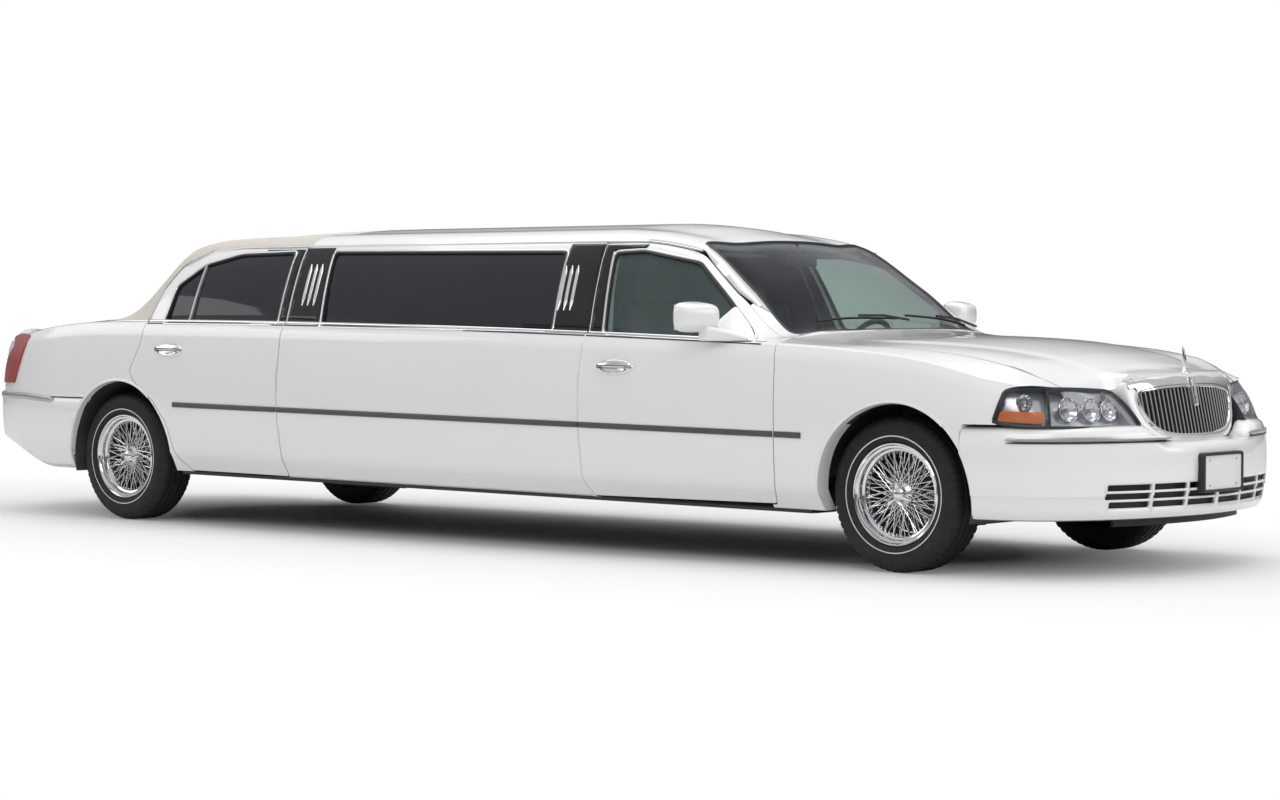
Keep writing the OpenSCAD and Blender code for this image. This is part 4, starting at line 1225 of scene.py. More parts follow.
    def mirrors(self) -> None:
        """Door mirrors: a rounded head on an arm from the door's front corner."""
        x = XF - 1.014
        middle = Vector((x + 0.008, 1.034, 1.094))
        bpy.ops.mesh.primitive_cube_add(size=1)
        head = bpy.context.active_object
        head.scale, head.location = (0.125, 0.185, 0.150), middle
        placed(head, "mirror_head")
        for vertex in head.data.vertices:
            outer = (vertex.co.y - 0.94) / 0.19
            if vertex.co.x > x:
                vertex.co.x += 0.030 - 0.055 * outer
                vertex.co.z += (middle.z - vertex.co.z) * 0.28
            vertex.co.z += (middle.z - vertex.co.z) * 0.10 * outer
        modified(head, "SUBSURF", levels=1, render_levels=1, subdivision_type="SIMPLE")
        modified(head, "SUBSURF", levels=3, render_levels=3)
        grow = Matrix.Translation(middle) @ Matrix.Diagonal((1.04, 1.03, 1.06, 1))
        head.data.transform(grow @ Matrix.Translation(-middle))
        cut(head, block("tool", (x - 0.2, 0.8, 0.9), (x - 0.050, 1.3, 1.3), 0))
        cut(head, block("tool", (x - 0.3, 0.958, 1.034), (x - 0.043, 1.112, 1.150), 0))
        arm = prism("mirror_arm", [(x + 0.015, 1.02), (x + 0.005, 0.925), (x + 0.16, 0.915),
                                   (x + 0.225, 0.915),
                                   (x + 0.215, 0.938), (x + 0.15, 0.962), (x + 0.075, 1.03)],
                    Way.ALONG_Z, 0.987, 1.060, 0.012)
        for vertex in arm.data.vertices:
            if vertex.co.z > 1.0:
                vertex.co.z -= max(0.0, vertex.co.x - x - 0.05) * 0.30
        body = cleaned(joined("mirror_body", [head, arm]), 40)
        self.pair(body, PAINT, FRONT_DOORS, "body_paint",
                  (("mirror_left",), ("mirror_right",)))
        pane = block("mirror_pane", (x - 0.047, 0.960, 1.036), (x - 0.044, 1.110, 1.148), 0.001)
        self.pair(pane, MIRROR_GLASS, FRONT_DOORS, "clear_glass")
        sail = [(XF - 0.756, 0.986), (XF - 0.968, 1.142), (XF - 1.06, 0.990)]
        cover = FORM.shell("mirror_sail", XF - 1.08, XF - 0.72, BELT, EDGE, -0.06, 0.24)
        cut(cover, side_tool(sail, 0, 0.012), "INTERSECT")
        self.pair(cover, PAINT, FRONT_DOORS, "body_paint")


# Roof, glass at both ends, vinyl


@dataclass
class Roof:
    """The painted and the covered halves of the roof, with the windscreen and rear window."""

    def build(self) -> None:
        """Builds both halves and the glass."""
        vinyl_front, vinyl_rear, top_front = XR + 1.21, XR - 0.12, XF - 0.592
        screen = plan(((2.080, 0), (2.058, 0.40), (1.990, 0.712), (1.358, 0.592), (1.405, 0.30), (1.418, 0)))
        roof = FORM.shell("roof_panel", vinyl_front, top_front, LEDGE, MIDDLE, whole=True, step=0.03)
        vinyl = FORM.shell("vinyl_cover", vinyl_rear, vinyl_front - 0.004, LEDGE, MIDDLE, whole=True,
                           step=0.03)
        for piece, glass in ((roof, screen), (vinyl, REAR_GLASS)):
            for line in (FRONT_DOOR, REAR_DOOR):
                for side in (1, -1):
                    cut(piece, side_tool(line, 0.006, side=side))
            cut(piece, plan_tool(rounded(glass, 0.05)))
        for side in (1, -1):
            cut(roof, side_tool(STRETCH_WINDOW, 0, 0.03, side))
        corner = FORM.shell("cowl_corner", XF - 0.92, top_front, EDGE, MIDDLE)
        corner.data.transform(Matrix.Diagonal((1, 0.995, 1, 1)))
        cut(corner, side_tool(FRONT_DOOR, 0.006), "INTERSECT")
        cut(corner, plan_tool(rounded(screen, 0.05)))
        for piece in (roof, corner):
            cut(piece, plan_tool(NOSE.hood_plan(0.005)))
        SIDES.pair(cleaned(corner), PAINT, ROOT_PAIR, "body_paint")
        for piece, finish, slot, node in ((roof, PAINT, "body_paint", "roof"),
                                          (vinyl, VINYL, "roof_vinyl", "vinyl_top")):
            lined(piece, finish, LINING, lambda c, n: n.z < -0.2 or n.y * c.y < -0.2)
            dress(piece, finish, "root", slot, node)
        for name, x0, x1, outline, finish, slot, node in (
            ("windscreen_pane", XF - 1.40, XF - 0.592, screen, SCREEN, "clear_glass", "windscreen"),
            ("rear_pane", XR - 0.30, XR + 0.40, REAR_GLASS, DARK, "dark_glass", "rear_window"),
        ):
            pane = FORM.shell(name, x0, x1, LEDGE, MIDDLE, 0.15, 0.30, whole=True, step=0.03)
            cut(pane, plan_tool(rounded(grown(outline, -0.0005), 0.05)), "INTERSECT")
            dress(pane, finish, "root", slot, node)
            self.border(name + "_border", rounded(outline, 0.05), 0.013, BLACK)
        self.wipers()

    @staticmethod
    def top_point(x: float, y: float, lift: float = 0.0) -> tuple[Vector, Vector]:
        """The roof's surface point over (x, y), and its outward direction."""
        run = FORM.run(x, LEDGE, MIDDLE)
        z, dy, dz = run[-1].y, -1.0, 0.0
        for a, b in zip(run, run[1:]):
            if b.x <= abs(y) <= a.x:
                t = (a.x - abs(y)) / max(a.x - b.x, 1e-6)
                z, dy, dz = mix(a.y, b.y, t), b.x - a.x, b.y - a.y
                break
        out = Vector((0, dz * (1 if y >= 0 else -1), -dy)).normalized()
        return Vector((x, y, z)) + out * lift, out

    def border(self, name: str, outline: Sequence[Pair], width: float, finish: Finish) -> None:
        """A strip round a pane, along its plan outline on the roof's surface."""
        found = [self.top_point(x, y) for x, y in divided(outline, 0.03)]
        strip = swept(name, [f[0] for f in found], [f[1] for f in found], strip_profile(width, 0.003, 0.010),
                      True)
        dress(strip, finish, "root", "black_plastic")

    def wipers(self) -> None:
        """Wiper arms and blades at the windscreen's foot."""
        for i, (y0, y1) in enumerate(((0.62, 0.12), (0.02, -0.52))):
            blade = []
            for k in range(9):
                y = mix(y0, y1, k / 8)
                spot, out = self.top_point(2.050 - 0.10 * abs(y) ** 2 - 0.035 - 0.02 * k / 8, y, 0.012)
                blade.append(spot)
            dress(tube(f"wiper_blade_{i + 1}", blade, 0.006, 6), BLACK, "root", "black_plastic")
            arm = [blade[4] + Vector((0, 0, 0.012)), blade[2] + Vector((0.03, 0, 0.012)),
                   blade[0] + Vector((0.055, 0.02, -0.006))]
            dress(tube(f"wiper_arm_{i + 1}", arm, 0.006, 6), BLACK, "root", "black_plastic")


# Nose


@dataclass
class Lamps:
    """The headlights: a leaning lens that wraps round the corner, over a bowl with reflectors."""

    # The lens's lower and upper edges, from the fender to the grille
    low: Sequence[Point] = ((3.205, 0.948, 0.652), (3.330, 0.905, 0.645), (3.440, 0.815, 0.640),
                            (3.520, 0.690, 0.637), (3.575, 0.560, 0.635), (3.612, 0.425, 0.634))
    top: Sequence[Point] = ((3.236, 0.912, 0.800), (3.310, 0.855, 0.803), (3.380, 0.760, 0.802),
                            (3.425, 0.655, 0.799), (3.452, 0.560, 0.794), (3.470, 0.458, 0.788))

    def rim(self, row: Sequence[Point], t: float) -> Vector:
        """A point along the lower or upper edge, t from the fender to the grille."""
        places = [i / (len(row) - 1) for i in range(len(row))]
        return Vector([Curve(list(zip(places, [p[k] for p in row])))(t) for k in range(3)])

    def point(self, t: float, h: float, out: float = 0.0) -> Vector:
        """A point on the lens at t along it and h up it, moved out of it."""
        a, b = self.rim(self.low, t), self.rim(self.top, t)
        ahead = self.rim(self.low, min(1, t + 0.02)) - self.rim(self.low, max(0, t - 0.02))
        away = (b - a).cross(ahead).normalized()
        if away.x + away.y < 0:
            away = -away
        return a.lerp(b, h) + away * (out + 0.012 * math.sin(math.pi * h))

    def outline(self, inset: float = 0.0) -> list[tuple[float, float]]:
        """The lens's outline in (t, h), with rounded corners at the fender end."""
        a, b = inset * 0.25, inset
        return rounded([(a, b + 0.02), (a + 0.02, 1 - b), (1 - a, 1 - b), (1 - a, b)], 0.12, 6)

    def slice(self, name: str, outline: Sequence[tuple[float, float]], near: float, far: float,
              rows: int = 26, cols: int = 8) -> Obj:
        """A closed piece that follows the lens between two depths, bounded by an outline of (t, h)."""
        start, stop = min(p[0] for p in outline), max(p[0] for p in outline)
        runs = []
        for i in range(rows + 1):
            t = mix(start, stop, 0.5 - 0.5 * math.cos(math.pi * i / rows))
            hits = []
            for a, b in zip(outline, list(outline[1:]) + [outline[0]]):
                if (a[0] - t) * (b[0] - t) <= 0 and a[0] != b[0]:
                    hits.append(mix(a[1], b[1], (t - a[0]) / (b[0] - a[0])))
            low, high = (min(hits), max(hits)) if hits else (0.5, 0.5)
            if high - low < 0.01:
                low, high = (low + high) / 2 - 0.005, (low + high) / 2 + 0.005
            runs.append([[self.point(t, mix(low, high, k / cols), out) for k in range(cols + 1)]
                         for out in (near, far)])
        return walled(name, runs)

    def space(self, grow: float) -> Obj:
        """The room that a headlight takes out of the body."""
        g = grow / 0.15
        corners = [(-g * 0.4, -g + 0.02), (0.02 - g * 0.4, 1 + g), (1 + g * 0.3, 1 + g), (1 + g * 0.3, -g)]
        return self.slice("tool", rounded(corners, 0.12, 6), 0.04, -0.085)

    def build(self) -> None:
        """Builds the lamps on both sides."""
        outline = self.outline()
        lens = self.slice("headlight_lens", outline, 0.002, -0.001)
        SIDES.pair(lens, LENS, ROOT_PAIR, "lamp_lens", (("headlights",), ()))
        bowl = self.slice("headlight_bowl", self.outline(0.01), -0.052, -0.062)
        SIDES.pair(bowl, BOWL, ROOT_PAIR, "bright_trim")
        path, out = [], []
        for t, h in divided(outline, 0.05):
            path.append(self.point(t, h))
            out.append((self.point(t, h, 0.01) - path[-1]).normalized())
        section = [(0.005, -0.058), (0.005, 0.0035), (-0.004, 0.0035), (-0.006, -0.058)]
        SIDES.pair(swept("headlight_seal", path, out, section, True), BLACK, ROOT_PAIR, "black_plastic")
        marker = self.slice("side_marker", rounded([(0.03, 0.10), (0.035, 0.38), (0.33, 0.38), (0.33, 0.10)],
                                                   0.05, 4),
                            -0.006, -0.020, 14, 5)
        SIDES.pair(marker, AMBER, ROOT_PAIR, "lamp_lens")
        post = self.slice("headlight_divider", [(0.350, 0.02), (0.350, 0.98), (0.368, 0.98), (0.368, 0.02)],
                          -0.004, -0.055, 4, 4)
        SIDES.pair(post, BLACK, ROOT_PAIR, "black_plastic")
        for i, t in enumerate((0.50, 0.68, 0.84)):
            self.reflector(f"reflector_{i + 1}", t, 0.052 if i < 2 else 0.046)
        self.reflector("parking_reflector", 0.19, 0.036)
        wing = self.slice("headlight_inner_wing", [(0.93, 0.04), (0.90, 0.96), (0.985, 0.96), (0.985, 0.04)],
                          -0.008, -0.05, 5, 4)
        SIDES.pair(wing, SATIN, ROOT_PAIR, "bright_trim")

    def reflector(self, name: str, t: float, radius: float) -> None:
        """A faceted dish with its bulb, set behind the lens."""
        centre = self.point(t, 0.50 if t > 0.3 else 0.66, -0.030)
        facing = (self.point(t, 0.5, 0.02) - self.point(t, 0.5, 0.0)).normalized()
        facing = facing.lerp(Vector((1, 0.15, 0)), 0.55).normalized()
        facets = [(radius * r, -0.026 + 0.036 * r * r) for r in (0.92, 0.72, 0.5, 0.3, 0.12, 0.0)]
        profile = [(radius, 0.010), (radius * 0.96, 0.012), *facets, (0.0, -0.032), (radius * 0.5, -0.024),
                   (radius, 0.004)]
        dish = turned(name, profile, (0, 0, 0), 18, 8)
        bulb = turned(name + "_bulb", [(0, -0.026), (0.009, -0.026), (0.009, 0.002), (0.006, 0.010),
                                       (0, 0.012)],
                      (0, 0, 0), 16)
        for piece, finish in ((dish, BRIGHT), (bulb, SATIN)):
            SIDES.pair(faced(piece, centre, facing), finish, ROOT_PAIR, "bright_trim")


@dataclass
class Nose:
    """Hood, grille and front bumper."""

    grille_x: float = XF + 0.957
    grille_z: float = 0.586
    tilt: float = math.radians(12)
    bow: float = 0.33
    # Left halves of the shield's and the opening's outlines, as (y, up)
    outer: Sequence[Pair] = ((0.0, 0.272), (0.22, 0.270), (0.418, 0.262), (0.436, 0.235), (0.425, 0.16),
                             (0.398, 0.09), (0.350, 0.035), (0.285, 0.002), (0.18, -0.016), (0.0, -0.022))
    inner: Sequence[Pair] = ((0.0, 0.222), (0.22, 0.220), (0.372, 0.205), (0.372, 0.16), (0.350, 0.105),
                             (0.306, 0.055), (0.245, 0.026), (0.15, 0.012), (0.0, 0.008))
    bars: int = 27

    def at(self, out: float, y: float, up: float) -> Vector:
        """A point of the grille's leaning, bowed face in the car's frame."""
        out -= self.bow * y * y
        c, s = math.cos(self.tilt), math.sin(self.tilt)
        return Vector((self.grille_x + out * c - up * s, y, self.grille_z + out * s + up * c))

    @staticmethod
    def both(half: Sequence[Pair]) -> list[Pair]:
        """A whole outline from its left half, from the top middle round to the bottom middle."""
        return list(half) + [(-y, z) for y, z in list(reversed(half))[1:-1]]

    def hood_plan(self, grow: float = 0.0) -> list[Pair]:
        """The hood's plan outline, with its front over the grille."""
        rows = [(2.104, 0.0), (2.080, 0.40), (2.040, 0.764), (2.088, 0.794), (2.804, 0.794), (3.173, 0.794),
                (3.323, 0.734), (3.396, 0.694), (3.435, 0.60), (3.462, 0.452), (3.50, 0.425), (3.530, 0.36),
                (3.560, 0.22), (3.573, 0.0)]
        return plan([rows[0], *[(x, y + grow) for x, y in rows[1:-1]], rows[-1]])

    def build(self) -> None:
        """Builds the nose's pieces."""
        self.hood()
        self.grille()
        self.ornament()
        self.bumper()

    def hood_height(self, x: float, y: float) -> float:
        """The hood's height over (x, y), with its raised middle.

        Args:
            x: place along the car.
            y: place across it.

        Returns:
            The height of the outer face.
        """
        run = FORM.run(x, EDGE, MIDDLE)
        reach, z = run[0]
        for a, b in zip(run, run[1:]):
            if b.x <= abs(y) <= a.x:
                z = mix(a.y, b.y, (a.x - abs(y)) / max(a.x - b.x, 1e-6))
                break
        if abs(y) > reach:
            z -= (abs(y) - reach) * 0.5
        half = mix(0.60, 0.40, step_up(2.3, 3.50, x))
        top = mix(z, 0.851 - 0.06 * y * y + (3.577 - x) * 0.14, step_up(3.30, 3.50, x))
        raised = mix(z, max(z, top), 1 - step_up(half - 0.01, half + 0.045, abs(y)))
        return raised + 0.006 * step_up(2.15, 2.6, x) * (1 - step_up(half - 0.03, half + 0.05, abs(y)))

    def hood(self) -> None:
        """The hood skin and the painted shield round the grille."""
        bpy.ops.mesh.primitive_grid_add(x_subdivisions=90, y_subdivisions=72, size=1)
        skin = bpy.context.active_object
        for vertex in skin.data.vertices:
            x, y = mix(2.03, 3.60, vertex.co.x + 0.5), vertex.co.y * 1.64
            vertex.co = (x, y, self.hood_height(x, y))
        placed(skin, "hood_skin")
        modified(skin, "SOLIDIFY", thickness=0.022, offset=-1)
        cleaned(skin)
        cut(skin, plan_tool(self.hood_plan(), 0.4, 1.5), "INTERSECT")
        shield = self.shield()
        cut(shield, self.well(self.inner, 0.2, -0.4))
        hood = cleaned(joined("hood_panel", [skin, shield]))
        lined(hood, PAINT, UNDER, lambda c, n: n.z < -0.6 and c.z > 0.72 and c.x < 3.52)
        dress(hood, PAINT, "hood", "body_paint", "hood")

    def shield(self) -> Obj:
        """The painted form that carries the grille, drawn back into the hood."""
        loop = rounded(self.both(self.outer), 0.02, 2)
        middle, rings = 0.125, []
        for depth, inset in ((0.0, 0.008), (-0.004, 0.002), (-0.02, 0.0), (-0.06, 0.0), (-0.12, 0.004)):
            share = 1 - inset / 0.3
            rings.append([self.at(depth, y * share, middle + (up - middle) * share) for y, up in loop])
        piece = lofted("shield", rings)
        modified(piece, "TRIANGULATE")
        return piece

    def well(self, half: Sequence[Pair], front: float, rear: float) -> Obj:
        """A tool with a grille outline, bowed as the grille is."""
        loop = rounded(self.both(half), 0.02, 3)
        piece = lofted("tool", [[self.at(out, y, up) for y, up in loop] for out in (front, rear)])
        modified(piece, "TRIANGULATE")
        return piece

    def ribbon(self, name: str, half: Sequence[Pair], profile: Sequence[Pair]) -> Obj:
        """A strip round a grille outline."""
        path, out = [], []
        for y, up in divided(rounded(self.both(half), 0.03, 3), 0.02):
            path.append(self.at(0, y, up))
            out.append((self.at(0.01, y, up) - path[-1]).normalized())
        return swept(name, path, out, profile, True)

    def span(self, y: float) -> Pair:
        """Lowest and highest place inside the grille's opening at y."""
        loop = self.both(self.inner)
        hits = []
        for a, b in zip(loop, loop[1:] + loop[:1]):
            if (a[0] - y) * (b[0] - y) <= 0 and a[0] != b[0]:
                hits.append(mix(a[1], b[1], (y - a[0]) / (b[0] - a[0])))
        return (min(hits), max(hits)) if hits else (0.1, 0.1)

    def grille(self) -> None:
        """The bright surround, header and upright bars."""
        surround = self.ribbon("grille_surround", self.inner, [(0.012, -0.02), (0.013, 0.002), (0.008, 0.007),
                                                               (-0.004, 0.006), (-0.010, -0.004),
                                                               (-0.010, -0.02)])
        dress(surround, BRIGHT, "hood", "bright_trim", "grille")
        half, steps, rings = 0.418, 48, []
        for i in range(steps + 1):
            y = mix(-half, half, i / steps)
            low = 0.214 - 0.012 * (y / half) ** 2 + (0.02 if abs(y) > 0.375 else 0)
            high = 0.268 - 0.006 * (y / half) ** 2
            section = ((0.001, low), (0.007, low + 0.004), (0.006, mix(low, high, 0.6)), (-0.004, high),
                       (-0.020, high + 0.004), (-0.02, low))
            rings.append([self.at(out, y, up) for out, up in section])
        header = lofted("grille_header", rings)
        dress(header, BRIGHT, "hood", "bright_trim")
        made = []
        section = [(0.0030, -0.030), (0.0066, -0.004), (0.0048, 0.0005), (-0.0048, 0.0005), (-0.0066, -0.004),
                   (-0.0030, -0.030)]
        for i in range(self.bars):
            y = mix(-0.350, 0.350, i / (self.bars - 1))
            low, high = self.span(y)
            spots = [self.at(0.0, y, mix(low - 0.004, high + 0.004, k / 10)) for k in range(11)]
            face = (self.at(0.01, y, 0.1) - self.at(0.0, y, 0.1)).normalized()
            made.append(swept(f"bar_{i}", spots, [face] * len(spots), section))
        bars = cleaned(joined("grille_bars", made))
        # Painted shade: the bars' sideways faces take the dark finish, standing for the shade in the gaps
        # between bars.
        lined(bars, BRIGHT, PAINTED_SHADE, lambda c, n: abs(n.y + 0.6 * c.y) > 0.85)
        dress(bars, BRIGHT, "hood", "bright_trim")
        # Painted shade: a black sheet behind the bars stands for the dark inside of the grille opening.
        loop = self.both([(y * 1.02, 0.115 + (z - 0.115) * 1.04) for y, z in self.inner])
        sheet = lofted("grille_shade", [[self.at(out, y, up) for y, up in loop] for out in (-0.044, -0.05)])
        dress(sheet, BLACK, "hood", "black_plastic")
        corners = ((-0.016, 0.255), (0.016, 0.255), (0.014, 0.135), (-0.014, 0.135))
        frame = [self.at(0.004, y, up) for y, up in corners]
        path = [frame[i].lerp(frame[(i + 1) % 4], k / 6) for i in range(4) for k in range(6)]
        face = (self.at(0.01, 0, 0.2) - self.at(0.0, 0, 0.2)).normalized()
        plaque = swept("grille_plaque", path, [face] * len(path), strip_profile(0.010, 0.010, 0.012), True)
        dress(plaque, BRIGHT, "hood", "bright_trim")

    def ornament(self) -> None:
        """A plain upright blade on a small foot."""
        foot = Vector((3.555, 0.0, 0.853))
        stem = turned("ornament_foot", [(0.0, 0.0), (0.022, 0.0), (0.020, 0.006), (0.010, 0.012),
                                        (0.006, 0.028), (0.0, 0.030)], (0, 0, 0), 28)
        stem.data.transform(Matrix.Translation(foot) @ Matrix.Rotation(math.radians(90), 4, "X"))
        blade = prism("blade", [(-0.010, 0.020), (-0.004, 0.060), (-0.012, 0.100), (-0.018, 0.118),
                                (-0.022, 0.112), (-0.020, 0.080), (-0.022, 0.050), (-0.018, 0.020)],
                      Way.ALONG_Y, -0.0045, 0.0045, 0.0015)
        blade.data.transform(Matrix.Translation(foot + Vector((0.014, 0, 0))))
        dress(cleaned(joined("hood_ornament", [stem, blade]), 40), BRIGHT, "hood", "bright_trim")

    def bumper_line(self, t: float) -> tuple[Vector, Vector]:
        """The bumper's plan point at t, 0 at the left arch and 1 at the right, with its outward direction."""
        rows = ((2.98, 0.988), (3.07, 0.985), (3.24, 0.955), (3.37, 0.898), (3.48, 0.805), (3.575, 0.665),
                (3.645, 0.50), (3.695, 0.30), (3.72, 0.13), (3.725, 0.0))
        spot = plan_curve(rows)
        way = spot(min(1, t + 0.004)) - spot(max(0, t - 0.004))
        return spot(t), Vector((-way.y, way.x, 0)).normalized()

    def bumper_section(self, y: float) -> list[Pair]:
        """The bumper's section at y, as (out, height)."""
        dip = 1 - step_up(0.33, 0.46, abs(y))
        return [(-0.085, 0.646 - 0.075 * dip), (-0.034, 0.641 - 0.066 * dip), (-0.014, 0.628 - 0.060 * dip),
                (-0.006, 0.612 - 0.050 * dip), (-0.002, 0.600 - 0.042 * dip), (0.000, 0.584 - 0.03 * dip),
                (0.004, 0.565 - 0.02 * dip), (0.008, 0.52), (0.009, 0.46), (0.007, 0.41), (0.003, 0.355),
                (-0.001, 0.350), (-0.006, 0.31), (-0.014, 0.275), (-0.030, 0.256), (-0.060, 0.250)]

    def bumper(self) -> None:
        """The bumper's skin with its strip, lower slots, plate and air dam."""
        steps, wall, runs = 150, 0.014, []
        for i in range(steps + 1):
            spot, out = self.bumper_line(i / steps)
            rows = self.bumper_section(spot.y)
            runs.append(([spot + out * a + Vector((0, 0, b)) for a, b in rows],
                         [spot + out * (a - wall) + Vector((0, 0, b - (0.008 if b > 0.6 else -0.004)))
                          for a, b in rows]))
        skin = walled("bumper_skin", runs)
        for side in (1, -1):
            cut(skin, arch_tool("front", side))
            near, far = sorted((side * 0.5, side * 1.3))
            cut(skin, block("tool", (2.8, near, 0.2), (3.0692, far, 0.8), 0))
        for row in range(3):
            z, reach = 0.303 + row * 0.036, (0.640, 0.660, 0.655)[row]
            for a, b in ((0.012, 0.215), (0.227, 0.425), (0.437, reach)):
                for side in (1, -1):
                    y0, y1 = sorted((side * a, side * b))
                    slot = rounded([(y0, z), (y1, z), (y1, z + 0.026), (y0, z + 0.026)], 0.006, 2)
                    cut(skin, prism("tool", slot, Way.ALONG_X, 3.40, 3.80))
        dress(skin, PAINT, "root", "body_paint", "front_bumper")
        self.along_bumper("bumper_strip", 0.105, 0.385, 0.5915,
                          [(0.010, -0.004), (0.010, 0.0035), (0.0, 0.0075),
                                                                (-0.006, 0.0065), (-0.010, -0.004)], SATIN)
        self.along_bumper("bumper_strip_line", 0.105, 0.385, 0.578,
                          [(0.0045, -0.004), (0.003, 0.006), (-0.003, 0.006),
                                                                    (-0.0045, -0.004)], BLACK)
        self.intake()
        self.plate()

    def along_bumper(self, name: str, t0: float, t1: float, z: float, profile: Sequence[Pair],
                     finish: Finish) -> None:
        """A strip along the left and the right of the bumper."""
        for side in ("left", "right"):
            path, out = [], []
            for i in range(41):
                t = mix(t0, t1, i / 40)
                t = t if side == "left" else 1 - t
                spot, way = self.bumper_line(t)
                path.append(spot + Vector((0, 0, z)) + way * 0.0005)
                out.append(way)
            dress(swept(f"{name}_{side}", path, out, profile, taper=0.03), finish, "root", "bright_trim")

    def intake(self) -> None:
        """The dark duct behind the slots and the air dam under the bumper."""
        for name, t0, t1, low, high, out_by in (("intake_duct", 0.25, 0.75, 0.292, 0.415, -0.030),
                                                ("air_dam", 0.30, 0.70, 0.216, 0.262, -0.11)):
            path, out = [], []
            for i in range(61):
                spot, way = self.bumper_line(mix(t0, t1, i / 60))
                path.append(spot + way * out_by + Vector((0, 0, (low + high) / 2)))
                out.append(way)
            h = (high - low) / 2
            strip = swept(name, path, out, [(h, -0.02), (h * 0.9, 0.0), (-h * 0.9, -0.004), (-h, -0.02)])
            dress(strip, BLACK, "root", "black_plastic")

    def plate(self) -> None:
        """A bracket with a blank plate and four screws."""
        bracket = prism("plate_bracket", rounded([(-0.165, 0.352), (0.165, 0.352), (0.165, 0.522),
                                                  (-0.165, 0.522)],
                                                 0.018, 4), Way.ALONG_X, XF + 1.030, XF + 1.076, 0.004)
        cut(bracket, block("tool", (XF + 1.068, -0.153, 0.363), (XF + 1.2, 0.153, 0.510), 0))
        dress(cleaned(bracket), BLACK, "root", "black_plastic")
        face = rounded([(-0.152, 0.364), (0.152, 0.364), (0.152, 0.509), (-0.152, 0.509)], 0.012, 4)
        plate = prism("front_plate", face, Way.ALONG_X, XF + 1.066, XF + 1.0705, 0.001)
        dress(plate, PLATE, "root", "bright_trim")
        for y in (-0.11, 0.11):
            for z in (0.383, 0.490):
                name = f"plate_screw_{'a' if y < 0 else 'b'}{'1' if z < 0.4 else '2'}"
                screw = turned(name, [(0, -0.003), (0.0055, -0.003), (0.0055, 0.001), (0.003, 0.0025),
                                      (0, 0.003)],
                               (0, 0, 0), 14)
                turn = Matrix.Rotation(math.radians(-90), 4, "Z")
                screw.data.transform(Matrix.Translation((XF + 1.0715, y, z)) @ turn)
                dress(screw, SATIN, "root", "bright_trim")


# Tail


